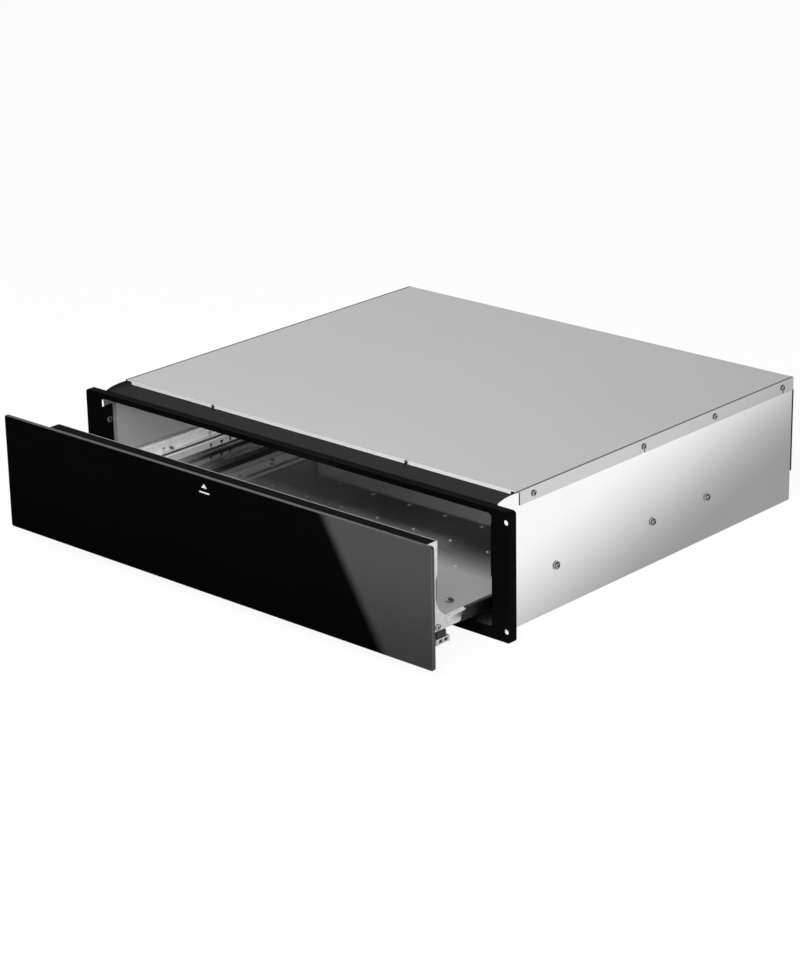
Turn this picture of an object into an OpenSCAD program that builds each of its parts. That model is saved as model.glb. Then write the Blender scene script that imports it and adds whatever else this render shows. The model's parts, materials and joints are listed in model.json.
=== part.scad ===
// Built-in warming drawer for a 600 mm wide niche, shown with its drawer part open.
// X runs across the front, Y from the front to the back and Z up. The origin lies
// on the underside of the base pan, midway between its four edges.

/* [Cabinet] */
// Width over the two side walls
cab_w = 547; // [541:1:556]
// Depth of the base pan and side walls behind the front frame
cab_d = 484; // [470:1:540]
// Height from the underside to the top of the lid
cab_h = 139; // [138.8:0.1:150]
// Thickness of the cabinet sheets
sheet_t = 0.8; // [0.6:0.1:1]
// Distance from the cabinet's front edge to the lid
lid_setback = 29; // [28:1:60]
// Height of the lid's side flanges
lid_flange = 14.3; // [12.5:0.1:18]
// Depth of the rear compartment behind the partition
rear_room = 61; // [58:1:80]
// Depth of the space behind each side liner
liner_gap = 4.5; // [4:0.1:5.5]

/* [Front frame] */
// Width of the frame
frame_w = 592; // [584:1:596]
// Height of the frame
frame_h = 134; // [131:0.5:134]
// Depth of the folded rim behind the frame's face
frame_d = 9; // [7:0.5:12]
// Thickness of the frame's sheet
frame_t = 1.2; // [1:0.1:1.5]
// Height of the rail above the opening
rail_top = 6; // [5:0.5:7]
// Height of the rail below the opening
rail_bottom = 12; // [8:0.5:12.5]
// Diameter of the four fixing holes
frame_hole_d = 5.5; // [4:0.1:6]
// Distance of the fixing holes from the frame's ends
hole_edge_x = 5.4; // [5:0.1:8]
// Distance of the fixing holes from the frame's top and bottom
hole_edge_z = 11.2; // [8:0.1:20]

/* [Glass front] */
// Width of the glass
glass_w = 595; // [590:1:600]
// Height of the glass
glass_h = 124; // [121:1:126]
// Height of the glass's lower edge above the underside
glass_z = 10; // [8:0.5:12]
// Thickness of the glass
glass_t = 4; // [3:0.5:6]
// Gap between the glass and the frame with the drawer closed
glass_gap = 4.5; // [4.5:0.5:8]

/* [Drawer] */
// How far the drawer stands open
drawer_out = 104.5; // [60:0.5:200]
// How far a closed drawer is pushed in to release its latch
push_in = 3; // [2:0.1:3.2]
// Gap between the drawer's side and the inner face of the side wall
slide_gap = 8.2; // [7.8:0.1:9]
// Depth of the front box, from the back of the glass to its rear face
front_d = 41.5; // [38:0.5:60]
// Height of the top of the front box above the underside
front_top = 119; // [100:1:121]
// Thickness of the drawer's side and front sheets
side_t = 1; // [0.8:0.1:1.2]
// Height of the tray floor above the underside
floor_z = 18; // [18:0.1:19]
// Height of the ledge along both sides of the tray
ledge_z = 27.3; // [26:0.1:27.4]
// Height of the top edge of the drawer's sides
side_top = 40; // [38:0.5:46]
// Height of the top edge of the drawer's rear wall
wall_top = 83; // [70:1:110]
// Distance between the pressed studs across the floor
stud_pitch_x = 51; // [40:1:56]
// Distance between the pressed studs from front to back
stud_pitch_y = 50; // [40:1:56]

/* [Slides] */
// Height of the slides' lower edge above the underside
slide_z = 29.6; // [28.6:0.1:31]
// Height of the fixed slide member
slide_h = 29.9; // [28:0.1:31]
// Height of the race that the moving members run in
race_h = 12.6; // [11:0.1:12.8]
// Running gap between the members
run_gap = 0.4; // [0.3:0.05:0.5]
// Thickness of the fixed member's sheet
slide_t = 1; // [0.8:0.1:1.2]

/* [Fasteners] */
// Thread diameter of the lid and cover screws
lid_screw_d = 3; // [2.5:0.1:3.5]
// Thread diameter of the slide screws
slide_screw_d = 3.6; // [3:0.1:3.8]
// Clearance of a screw hole, on the diameter
hole_clear = 0.2; // [0.1:0.1:0.6]

/* [Hidden] */

// Overrun of cutting tools past the faces that they cut
over = 1;
// Clearance of a hole that something passes through loosely, on the diameter
loose_clear = 1;
// Number of segments round a circle
$fn = 32;

// Planes of the cabinet
wall_x = cab_w / 2;
in_x = wall_x - sheet_t;
y_front = -cab_d / 2;
y_back = cab_d / 2;
panel_y = y_back - sheet_t;
face_y = y_front - frame_d;
lid_y = y_front + lid_setback;
lid_under = cab_h - sheet_t;
part_y = y_back - rear_room;
liner_x = in_x - liner_gap;

// Planes of the drawer, at the distance that it stands open
glass_y = face_y - glass_gap - drawer_out;
front_y = glass_y + front_d;
skin_y = front_y - side_t;
travel_in = drawer_out + push_in;
drawer_x = in_x - slide_gap;
side_in = drawer_x - side_t;
// Gap left between the drawer's rear wall and the partition, with the drawer pushed in
rear_clear = 3.7;
wall_y = part_y - rear_clear - travel_in;
tray_y = wall_y - sheet_t;

// Folds of the base pan, rear panel and partition
base_flange = 10;
fold_d = 12;
fold_gap = 0.4;
fold_z = base_flange + fold_gap;

// Side wall's top edge in front of the lid: it falls by wall_drop over wall_run
wall_run = 27;
wall_drop = 3.3;
wall_steps = 9;

// Top bridge between the front frame and the lid
bridge_drop = 4.4;
bridge_top = cab_h - bridge_drop;
bridge_y = lid_y + 2 * sheet_t;

// Tongue of a side wall, which stands inside the frame's rim and below the bridge
rim_gap = 0.4;
tongue_z0 = frame_t + rim_gap;
tongue_z1 = min(frame_h - frame_t, bridge_top) - rim_gap;

// Lid: the lip stops short of the corners, and two screws a side sit in open slots
lip_relief = 8.5;
lip_gap = 0.4;
flange_setback = 2.5;
side_screw_shares = [0.108, 0.465, 0.712, 0.961];
slot_numbers = [1, 3];
lip_screw_shares = [-0.257, 0.239];
side_screw_drop = 7.3;
side_screw_z = cab_h - side_screw_drop;
side_head_d = 6.4;
side_head_h = 1.8;
side_screw_len = 5;
lip_screw_d = 2.2;
lip_head_d = 4.4;
lip_head_h = 1.6;
lip_screw_len = 3;
lip_screw_z = bridge_top + lip_head_d / 2 + lip_gap;

// Front frame and its feet on the base pan
frame_r = 3.5;
opening_r = 4;
opening_top = frame_h - rail_top;
hole_x = frame_w / 2 - hole_edge_x;
foot_w = 40;
foot_x = 150;

// Slides: the lips of the fixed member stop short of the drawer's side
lip_short = 2.3;
hem_short = 1.3;
hem_h = 2.5;
shelf_t = 0.8;
race_z0 = slide_z + slide_t;
race_z1 = race_z0 + race_h;
slide_top = slide_z + slide_h;
slide_inset = 1;
slide_y0 = y_front + slide_inset;
slide_end = 2;
slide_y1 = part_y - slide_end;
slide_len = slide_y1 - slide_y0;
slide_hole_d = 5;
slide_hole_shares = [0.182, 0.349];
slide_hole_z = race_z1 + shelf_t + slide_hole_d / 2 + hole_clear;
slide_screw_shares = [0.206, 0.573, 0.794];
slide_screw_z = race_z1 + shelf_t + slide_screw_d / 2 + hole_clear;

// Side tabs of the front frame, screwed to the walls above the slides
tab_t = 1;
tab_d = 15;
tab_lift = 4.5;
tab_drop = 16.6;
tab_z0 = slide_top + tab_lift;
tab_z1 = bridge_top - tab_drop;
tab_screw_d = 3;
tab_screw_in = 9.4;
tab_screw_drop = 16;
tab_screw_y = face_y + tab_screw_in;
tab_screw_z = tab_z1 - tab_screw_drop;
tab_head_d = 7;
tab_head_h = 1.6;
tab_tail = 1.2;

// Middle member: it follows the drawer at half its travel
middle_t = 0.9;
middle_short = 5;
middle_lip_short = 1.8;
middle_y0 = slide_y0 - drawer_out / 2;
middle_y1 = middle_y0 + slide_len - middle_short;
middle_z0 = race_z0 + run_gap;
middle_z1 = race_z1 - run_gap;
middle_x1 = in_x - slide_t - run_gap;
nose_run = 11;
nose_drop = 5.3;

// Drawer member, fixed to the drawer's side
member_t = 0.8;
member_setback = 11;
member_short = 6.5;
member_y0 = front_y + member_setback;
member_z0 = middle_z0 + middle_t + run_gap;
member_z1 = middle_z1 - middle_t - run_gap;
member_x1 = middle_x1 - middle_t - run_gap;

// Slide screws and their washers
washer_d = 10;
washer_t = 0.8;
slide_head_d = 7.4;
slide_head_h = 2.6;
slide_tail = 4;

// Liners and felt
liner_t = 0.5;
liner_setback = 8;
liner_y = y_front + liner_setback;
liner_lift = 2.5;
liner_z0 = slide_top + liner_lift;
liner_drop = 5.1;
liner_z1 = bridge_top - liner_drop;
felt_gap = 0.3;

// Rear panel and the cover that stands proud of it
cover_z0 = 33;
cover_drop = 14;
cover_z1 = cab_h - cover_drop;
cover_d = 2.8;
cover_screw_in = 23;
cover_screw_rise = 5;
cover_dimple_d = 12;
vent_w = 40;
vent_h = 4;
vent_pitch = 58;
vent_low = 17;
vent_high = 13;
vent_step = 12;
vent_rows = [cover_z0 + vent_low, cover_z0 + vent_low + vent_step,
             cover_z1 - vent_high - vent_step, cover_z1 - vent_high];
vent_count = 3;

// Striker: an angle on the drawer's rear wall, with a window in its tongue
striker_t = 1.2;
striker_z = 60;
striker_w = 10;
striker_len = 24;
striker_foot = [20, 14];
window_w = 6;
window_in = 8;
window_len = 10;
slot_clear = 1;

// Push latch behind the partition: a hook swings up into the striker's window
latch_y = part_y + sheet_t;
latch_size = [24, 54, 22];
latch_drop = 14;
latch_wall = 2;
latch_in = latch_size[0] / 2 - latch_wall;
latch_z0 = striker_z - latch_drop;
pin_in = 10;
hook_pin_d = 4;
hook_pin_y = latch_y + latch_size[1] - pin_in;
hook_rise = 8;
hook_z = latch_z0 + hook_rise;
hook_boss_d = 8;
hook_t = 3;
hook_h = 4;
hook_play = 1;
nose_h = 3.3;
nose_len = 3.5;
nose_y1 = wall_y + drawer_out + window_in + window_len - hook_play;
nose_y0 = nose_y1 - nose_len;
spring_d = 6;
spring_wire = 0.7;
spring_turns = 2.5;
spring_gap = 0.1;
spring_in = 26;

// Supply terminals, inlet and cut-out in the rear compartment
block_x = 180;
block_size = [60, 20, 18];
block_hole_d = 5;
block_holes = 5;
gland_x = 232;
gland_z = 18;
gland_d = 20;
gland_thread_d = 16;
gland_bore_d = 8;
gland_out = 12;
gland_in = 12;
gland_nut_t = 4;
gland_nut_d = 22;
cutout_x = -60;
cutout_z = 85;
cutout_d = 16;
cutout_h = 8;
cutout_plate = [30, 1, 12];
cutout_tag = [2, 7, 6];

// Glass, its printed mark, tape and bumpers
glass_r = 3;
glass_top = glass_z + glass_h;
mark_t = 0.2;
mark_apex = 7.6;
mark_base = 12;
mark_half = 4.1;
bar_half = 7;
bar_top = 16;
bar_h = 1.6;
tape_t = 0.5;
tape_w = 10;
tape_in = 9;
bumper_d = 8;
bumper_t = 1;
bumper_in = 12.5;
bumper_rise = 10;

// Front box: the carrier's plate reaches the gussets and keeps clear of the bumpers
bumper_clear = 5;
carrier_x = min(drawer_x, glass_w / 2 - bumper_in - bumper_d / 2 - bumper_clear);
carrier_y = glass_y + tape_t;
gusset_y = carrier_y + side_t;
front_z0 = 14;
low_in = 15.5;
low_x = side_in - low_in;
gusset_z0 = 27.5;
gusset_back = 0.4;
gusset_step = 3;
step_z0 = 81.5;
step_z1 = 84.8;
gusset_r = 25.2;
arc_z = 63.4;
arc_steps = 12;
rivet_z = 31.4;
rivet_back = 1.1;
rivet_d = 3;
rivet_head_d = 7;
rivet_head_h = 1.4;

// Drawer sides, with a corner flange lapped on the rear wall
side_hole_d = 5;
side_hole_shares = [0.549, 0.593, 0.629];
side_hole_z = 35.4;
corner_foot = 48.5;
corner_mid = 40.5;
corner_head = 27.5;
corner_mid_z = 69;
corner_z1 = 79;

// Tray pan: a rim, a ledge, a riser and a sloping side down to the floor
rim_top = 33;
rim_short = 1.3;
ledge_w = 19.1;
ledge_x = side_in - ledge_w;
riser_z = 21.7;
slope_run = 3.4;
slope_x = ledge_x - slope_run;
stud_d = 4.8;
stud_top_d = 2.4;
stud_h = 1.2;
stud_columns = 8;
stud_x0 = -204;
stud_setback = 102;
stud_edge = 30;
stud_rows = floor((tray_y - stud_edge - (front_y + stud_setback)) / stud_pitch_y) + 1;
tray_screw_x = 208;
tray_screw_setback = 79.5;
tray_screw_y = front_y + tray_screw_setback;
tray_screw_d = 4;
tray_head_d = 9;
tray_head_h = 2.8;

// Flat heater, felt and cover under the floor
under_drop = 5;
under_z = floor_z - under_drop;
under_in = 1;
under_x = slope_x - under_in;
under_setback = 8;
heater_t = 0.8;
heater_in = 22;
pan_floor = floor_z - sheet_t;
mat_z1 = pan_floor - heater_t;

// Small pieces under the drawer's front corners
corner_block_size = [14.5, 13];
block_front = 2.5;
bracket_size = [9.5, 19, 6];
bracket_front = 3.5;
bracket_slots = 2;
bracket_slot = [5, 3];
bracket_slot_in = 3.5;
bracket_pitch = 7.5;

// Controls on the rear face of the front box
control_z = 70;
knob_x = -180;
knob_d = 32;
knob_top_d = 28;
knob_h = 14;
knob_gap = 0.4;
knob_mark = [2, 1, 10];
knob_mark_z = 3;
shaft_d = 6;
shaft_fit = 0.05;
shaft_in = 12;
stat_size = [30, 24, 30];
switch_x = -120;
switch_size = [17, 20.5, 22];
switch_cut = [switch_size[0] + hole_clear, switch_size[2] + hole_clear];
bezel_size = [21, 1.5, 26];
rocker_w = 13;
rocker_gap = 0.2;
rocker_in = 3.5;
rocker_y = front_y - rocker_in;
rocker_r = 9;
rocker_tip = 7;
rocker_face = 5.5;
rocker_dish = 3.2;
rocker_back = 6;
rocker_tail = 6.5;
// Tilt of the rocker in its off position
rocker_tilt = 8;
pin_d = 2.4;
lamp_x = -88;
lamp_d = 8;
lamp_lens_d = 10;
lamp_lens_h = 2;
lamp_len = 17;

// Rounded share of a screw head's height, and the width of its flat crown
head_rim_share = 0.45;
head_crown_share = 0.62;

// Helpers

// Block between two corners
module box(lo, hi) translate(lo) cube(hi - lo);

// Outline drawn in Y and Z, run from x0 to x1
module along_x(x0, x1) translate([x0, 0, 0]) rotate([90, 0, 90]) linear_extrude(x1 - x0) children();

// Outline drawn in X and Z, run from y0 to y1
module along_y(y0, y1) translate([0, y1, 0]) rotate([90, 0, 0]) linear_extrude(y1 - y0) children();

module rod_x(x0, x1, y, z, d) translate([x0, y, z]) rotate([0, 90, 0]) cylinder(h = x1 - x0, d = d);

module rod_y(y0, y1, x, z, d) translate([x, y0, z]) rotate([-90, 0, 0]) cylinder(h = y1 - y0, d = d);

module rod_z(z0, z1, x, y, d) translate([x, y, z0]) cylinder(h = z1 - z0, d = d);

// Rectangle with round corners, between two corners
module rounded(lo, hi, r) {
  translate([lo[0] + r, lo[1]]) square([hi[0] - lo[0] - 2 * r, hi[1] - lo[1]]);
  translate([lo[0], lo[1] + r]) square([hi[0] - lo[0], hi[1] - lo[1] - 2 * r]);
  for (x = [lo[0] + r, hi[0] - r], z = [lo[1] + r, hi[1] - r]) translate([x, z]) circle(r);
}

module left() mirror([1, 0, 0]) children();

module both_sides() {
  children();
  left() children();
}

// Pan-head screw or rivet: the head stands on z = 0 and the shank runs down to -len
module screw(d, head_d, head_h, len) {
  translate([0, 0, -len]) cylinder(h = len, d = d);
  cylinder(h = head_h * head_rim_share, d = head_d);
  translate([0, 0, head_h * head_rim_share])
    cylinder(h = head_h * (1 - head_rim_share), d1 = head_d, d2 = head_d * head_crown_share);
}

// Screws with their heads outside a side wall, in front of the drawer or behind the cabinet
module screw_out(x, y, z, d, head_d, head_h, len)
  translate([x, y, z]) rotate([0, 90, 0]) screw(d, head_d, head_h, len);

module screw_in(x, y, z, d, head_d, head_h, len)
  translate([x, y, z]) rotate([0, -90, 0]) screw(d, head_d, head_h, len);

module screw_front(x, y, z, d, head_d, head_h, len)
  translate([x, y, z]) rotate([90, 0, 0]) screw(d, head_d, head_h, len);

module screw_back(x, y, z, d, head_d, head_h, len)
  translate([x, y, z]) rotate([-90, 0, 0]) screw(d, head_d, head_h, len);

// Places shared by several pieces
function side_screw_ys() = [for (s = side_screw_shares) y_front + s * cab_d];
function slide_screw_ys() = [for (s = slide_screw_shares) slide_y0 + s * slide_len];
function slide_hole_ys() = [for (s = slide_hole_shares) slide_y0 + s * slide_len];
function side_hole_ys() = [for (s = side_hole_shares) member_y0 + s * (tray_y - member_y0)];
function cover_screw_xs() = [for (s = [-1, 0, 1]) s * (wall_x - cover_screw_in)];
function cover_screw_zs() = [cover_z0 + cover_screw_rise, cover_z1 - cover_screw_rise];

// Top edge of a side wall from its front to where the lid begins
function wall_curve() = [for (i = [0 : wall_steps])
  [y_front + wall_run * i / wall_steps, lid_under - wall_drop * pow(1 - i / wall_steps, 3)]];

// Cabinet

module base_pan() color("lightgray") {
  box([-in_x, y_front, 0], [in_x, panel_y, sheet_t]);
  both_sides() box([in_x - sheet_t, y_front, 0], [in_x, panel_y, base_flange]);
}

module side_wall() color("gainsboro") difference() {
  along_x(in_x, wall_x) polygon(concat(
    [[y_back, lid_under], [y_back, 0], [y_front, 0], [y_front, tongue_z0]],
    [[face_y + frame_t, tongue_z0], [face_y + frame_t, tongue_z1], [y_front, tongue_z1]],
    wall_curve()
  ));
  for (y = side_screw_ys()) rod_x(in_x - over, wall_x + over, y, side_screw_z, lid_screw_d + hole_clear);
  for (y = slide_screw_ys())
    rod_x(in_x - over, wall_x + over, y, slide_screw_z, slide_screw_d + hole_clear);
  rod_x(in_x - over, wall_x + over, tab_screw_y, tab_screw_z, tab_screw_d + hole_clear);
}

module vents(y0, y1)
  for (z = vent_rows, i = [-vent_count : vent_count])
    box([i * vent_pitch - vent_w / 2, y0, z], [i * vent_pitch + vent_w / 2, y1, z + vent_h]);

module rear_panel() color("silver") difference() {
  union() {
    box([-in_x, panel_y, 0], [in_x, y_back, lid_under]);
    both_sides() box([in_x - sheet_t, panel_y - fold_d, fold_z], [in_x, y_back, lid_under]);
  }
  vents(panel_y - over, y_back + over);
  rod_y(panel_y - over, y_back + over, gland_x, gland_z, gland_thread_d + hole_clear);
  for (x = cover_screw_xs(), z = cover_screw_zs())
    rod_y(panel_y - over, y_back + over, x, z, lid_screw_d + hole_clear);
}

module rear_cover() color("silver") difference() {
  box([-wall_x, y_back, cover_z0], [wall_x, y_back + cover_d, cover_z1]);
  difference() {
    box([sheet_t - wall_x, y_back - over, cover_z0 + sheet_t],
        [wall_x - sheet_t, y_back + cover_d - sheet_t, cover_z1 - sheet_t]);
    for (x = cover_screw_xs(), z = cover_screw_zs())
      rod_y(y_back - over, y_back + cover_d, x, z, cover_dimple_d);
  }
  vents(y_back - over, y_back + cover_d + over);
  for (x = cover_screw_xs(), z = cover_screw_zs())
    rod_y(y_back - over, y_back + cover_d + over, x, z, lid_screw_d + hole_clear);
}

module lid() color("silver") difference() {
  union() {
    box([-wall_x - sheet_t, lid_y, lid_under], [wall_x + sheet_t, y_back + sheet_t, cab_h]);
    both_sides() box([wall_x, lid_y + flange_setback, cab_h - lid_flange],
                     [wall_x + sheet_t, y_back + sheet_t, cab_h]);
    box([lip_relief - wall_x, lid_y, bridge_top + lip_gap], [wall_x - lip_relief, lid_y + sheet_t, cab_h]);
    box([-wall_x, y_back, cab_h - lid_flange + sheet_t], [wall_x, y_back + sheet_t, cab_h]);
  }
  both_sides() for (i = [0 : len(side_screw_shares) - 1]) {
    rod_x(wall_x - over, wall_x + sheet_t + over, side_screw_ys()[i], side_screw_z,
          lid_screw_d + hole_clear);
    if (len(search(i, slot_numbers)) > 0)
      box([wall_x - over, side_screw_ys()[i] - (lid_screw_d + hole_clear) / 2, cab_h - lid_flange - over],
          [wall_x + sheet_t + over, side_screw_ys()[i] + (lid_screw_d + hole_clear) / 2, side_screw_z]);
  }
  for (s = lip_screw_shares)
    rod_y(lid_y - over, lid_y + lip_screw_len + hole_clear, s * cab_w, lip_screw_z,
          lip_screw_d + hole_clear);
}

module top_bridge() color([0.19, 0.19, 0.19]) difference() {
  union() {
    box([-in_x, y_front, bridge_top - sheet_t], [in_x, bridge_y, bridge_top]);
    box([-in_x, lid_y + sheet_t, bridge_top - sheet_t], [in_x, bridge_y, lid_under]);
    both_sides() along_x(in_x - sheet_t, in_x) polygon(concat(
      [[bridge_y, lid_under], [bridge_y, bridge_top - sheet_t], [y_front, bridge_top - sheet_t]],
      wall_curve()
    ));
  }
  for (s = lip_screw_shares)
    rod_y(lid_y, bridge_y + over, s * cab_w, lip_screw_z, lip_screw_d + hole_clear);
}

module front_frame() color([0.06, 0.06, 0.06]) difference() {
  union() {
    difference() {
      along_y(face_y, y_front) rounded([-frame_w / 2, 0], [frame_w / 2, frame_h], frame_r);
      along_y(face_y + frame_t, y_front + over)
        rounded([frame_t - frame_w / 2, frame_t], [frame_w / 2 - frame_t, frame_h - frame_t],
                frame_r - frame_t);
      along_y(face_y - over, y_front) rounded([-in_x, rail_bottom], [in_x, opening_top], opening_r);
    }
    both_sides() box([in_x - tab_t, face_y, tab_z0], [in_x, face_y + tab_d, tab_z1]);
    both_sides() box([in_x - tab_t, face_y, tab_z0], [in_x + tab_t, face_y + frame_t, tab_z1]);
    both_sides() box([foot_x - foot_w / 2, face_y, sheet_t],
                     [foot_x + foot_w / 2, y_front + fold_d, sheet_t + tab_t]);
  }
  for (x = [-hole_x, hole_x], z = [hole_edge_z, frame_h - hole_edge_z])
    rod_y(face_y - over, face_y + frame_t + over, x, z, frame_hole_d);
  both_sides() rod_x(in_x - tab_t - over, in_x + over, tab_screw_y, tab_screw_z, tab_screw_d + hole_clear);
}

module rear_partition() color("silver") difference() {
  union() {
    box([sheet_t + fold_gap - in_x, part_y, sheet_t], [in_x - sheet_t - fold_gap, latch_y, lid_under]);
    box([-in_x, part_y, fold_z], [in_x, latch_y, lid_under]);
    both_sides() box([in_x - sheet_t, part_y, fold_z], [in_x, latch_y + fold_d, lid_under]);
  }
  box([-striker_w / 2 - slot_clear, part_y - over, striker_z - slot_clear],
      [striker_w / 2 + slot_clear, latch_y + over, striker_z + striker_t + slot_clear]);
}

module side_liner() color("silver") difference() {
  box([liner_x, liner_y, liner_z0], [in_x, part_y, liner_z1]);
  box([liner_x + liner_t, liner_y + liner_t, liner_z0 + liner_t],
      [in_x + over, part_y - liner_t, liner_z1 - liner_t]);
}

module side_insulation() color("khaki")
  box([liner_x + liner_t + felt_gap, liner_y + liner_t + felt_gap, liner_z0 + liner_t + felt_gap],
      [in_x - felt_gap, part_y - liner_t - felt_gap, liner_z1 - liner_t - felt_gap]);

module top_liner() color("dimgray")
  box([-in_x, liner_y, liner_z1], [in_x, part_y, liner_z1 + liner_t]);

module lid_insulation() color("khaki")
  box([side_screw_len + felt_gap - in_x, lid_y + lip_screw_len + felt_gap, liner_z1 + liner_t + felt_gap],
      [in_x - side_screw_len - felt_gap, part_y - felt_gap, lid_under - felt_gap]);

module latch_housing() color("darkslategray") difference() {
  box([-latch_size[0] / 2, latch_y, latch_z0],
      [latch_size[0] / 2, latch_y + latch_size[1], latch_z0 + latch_size[2]]);
  box([-latch_in, latch_y - over, latch_z0 + latch_wall],
      [latch_in, latch_y + latch_size[1] - latch_wall, latch_z0 + latch_size[2] + over]);
  rod_x(-latch_size[0], latch_size[0], hook_pin_y, hook_z, hook_pin_d + 2 * shaft_fit);
}

module latch_pin() color("silver")
  rod_x(-latch_size[0] / 2, latch_size[0] / 2, hook_pin_y, hook_z, hook_pin_d);

module latch_hook() color("lightsteelblue") difference() {
  union() {
    box([-hook_t / 2, nose_y0, hook_z - hook_h / 2], [hook_t / 2, hook_pin_y, hook_z + hook_h / 2]);
    box([-hook_t / 2, nose_y0, hook_z], [hook_t / 2, nose_y1, hook_z + hook_h / 2 + nose_h]);
    rod_x(-hook_t / 2, hook_t / 2, hook_pin_y, hook_z, hook_boss_d);
  }
  rod_x(-hook_t, hook_t, hook_pin_y, hook_z, hook_pin_d + 2 * shaft_fit);
}

// Helix: ring centres climb round the Z axis, and each ring lies in the plane of the axis and its centre
function helix_points(z0, z1, r, wire, turns, rings, sides) = [
  for (i = [0 : rings])
    let (a = 360 * turns * i / rings, z = z0 + (z1 - z0) * i / rings)
      for (k = [0 : sides - 1])
        let (b = 360 * k / sides, q = r + wire * cos(b))
          [q * cos(a), q * sin(a), z + wire * sin(b)]
];
function tube_faces(rings, sides) = concat(
  [[for (k = [0 : sides - 1]) k]],
  [for (i = [0 : rings - 1], k = [0 : sides - 1])
    let (a = i * sides + k, b = i * sides + (k + 1) % sides) [a, a + sides, b + sides]],
  [for (i = [0 : rings - 1], k = [0 : sides - 1])
    let (a = i * sides + k, b = i * sides + (k + 1) % sides) [a, b + sides, b]],
  [[for (k = [sides - 1 : -1 : 0]) rings * sides + k]]
);

module latch_spring() color("gray") {
  rings = spring_turns * 16;
  z0 = latch_z0 + latch_wall + spring_gap + spring_wire / 2;
  z1 = hook_z - hook_h / 2 - spring_gap - spring_wire / 2;
  translate([0, hook_pin_y - spring_in, 0])
    polyhedron(
      helix_points(z0, z1, (spring_d - spring_wire) / 2, spring_wire / 2, spring_turns, rings, 6),
      tube_faces(rings, 6));
}

module terminal_block() color("white") difference() {
  translate([block_x - block_size[0] / 2, panel_y - fold_d - block_size[1], sheet_t]) cube(block_size);
  for (i = [1 : block_holes])
    rod_z(sheet_t + block_size[2] / 2, sheet_t + block_size[2] + over,
          block_x - block_size[0] / 2 + block_size[0] * i / (block_holes + 1),
          panel_y - fold_d - block_size[1] / 2, block_hole_d);
}

module cable_gland() color("black") difference() {
  union() {
    rod_y(y_back, y_back + gland_out / 2, gland_x, gland_z, gland_d);
    translate([gland_x, y_back + gland_out / 2, gland_z]) rotate([-90, 0, 0])
      cylinder(h = gland_out / 2, d1 = gland_d, d2 = gland_thread_d);
    rod_y(panel_y - gland_in, y_back, gland_x, gland_z, gland_thread_d);
    translate([gland_x, panel_y - gland_nut_t, gland_z]) rotate([-90, 0, 0])
      cylinder(h = gland_nut_t, d = gland_nut_d, $fn = 6);
  }
  rod_y(panel_y - gland_in - over, y_back + gland_out + over, gland_x, gland_z, gland_bore_d);
}

module thermal_cutout() color("darkgoldenrod") {
  translate([cutout_x - cutout_plate[0] / 2, latch_y, cutout_z - cutout_plate[2] / 2]) cube(cutout_plate);
  rod_y(latch_y, latch_y + cutout_h, cutout_x, cutout_z, cutout_d);
  for (s = [-1, 1])
    translate([cutout_x + s * cutout_d / 4 - cutout_tag[0] / 2, latch_y, cutout_z - cutout_tag[2] / 2])
      cube([cutout_tag[0], cutout_h + cutout_tag[1], cutout_tag[2]]);
}

// Slides

module outer_slide() color("lightsteelblue") difference() {
  union() {
    box([in_x - slide_t, slide_y0, slide_z], [in_x, slide_y1, slide_top]);
    box([drawer_x + lip_short, slide_y0, slide_z], [in_x, slide_y1, race_z0]);
    box([drawer_x + lip_short, slide_y0, race_z1], [in_x, slide_y1, race_z1 + shelf_t]);
    box([drawer_x + hem_short, slide_y0, slide_top - slide_t], [in_x, slide_y1, slide_top]);
    box([drawer_x + hem_short, slide_y0, slide_top - slide_t - hem_h],
        [drawer_x + hem_short + slide_t, slide_y1, slide_top]);
  }
  for (y = slide_hole_ys())
    rod_x(in_x - slide_t - over, in_x + over, y, slide_hole_z, slide_hole_d);
  for (y = slide_screw_ys())
    rod_x(in_x - slide_t - over, in_x + over, y, slide_screw_z, slide_screw_d + hole_clear);
}

module middle_slide() color("dimgray") difference() {
  union() {
    box([middle_x1 - middle_t, middle_y0, middle_z0], [middle_x1, middle_y1, middle_z1]);
    for (z = [middle_z0, middle_z1 - middle_t])
      box([drawer_x + middle_lip_short, middle_y0, z], [middle_x1, middle_y1, z + middle_t]);
  }
  along_x(drawer_x, in_x) polygon([
    [middle_y0 - over, middle_z1 - nose_drop],
    [middle_y0, middle_z1 - nose_drop],
    [middle_y0 + nose_run, middle_z1 + over],
    [middle_y0 - over, middle_z1 + over]
  ]);
}

module drawer_slide() color("lightsteelblue") difference() {
  union() {
    box([drawer_x, member_y0, member_z0], [drawer_x + member_t, tray_y - member_short, member_z1]);
    for (z = [member_z0, member_z1 - member_t])
      box([drawer_x, member_y0, z], [member_x1, tray_y - member_short, z + member_t]);
  }
  for (y = side_hole_ys()) rod_x(drawer_x - over, drawer_x + member_t + over, y, side_hole_z, side_hole_d);
}

// Glass front and the box behind it

module mark_outline() {
  base = glass_top - mark_base;
  polygon([[-mark_half, base], [mark_half, base], [0, glass_top - mark_apex]]);
  translate([-bar_half, glass_top - bar_top - bar_h]) square([2 * bar_half, bar_h]);
}

module glass_front() color([0.04, 0.04, 0.04]) difference() {
  along_y(glass_y - glass_t, glass_y) rounded([-glass_w / 2, glass_z], [glass_w / 2, glass_top], glass_r);
  along_y(glass_y - glass_t - over, glass_y - glass_t + mark_t) mark_outline();
}

module push_mark() color("white") along_y(glass_y - glass_t, glass_y - glass_t + mark_t) mark_outline();

module glass_tape() color("gray") difference() {
  box([tape_in - carrier_x, glass_y, front_z0 + tape_in],
      [carrier_x - tape_in, carrier_y, front_top - tape_in]);
  box([tape_in + tape_w - carrier_x, glass_y - over, front_z0 + tape_in + tape_w],
      [carrier_x - tape_in - tape_w, carrier_y + over, front_top - tape_in - tape_w]);
}

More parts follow.
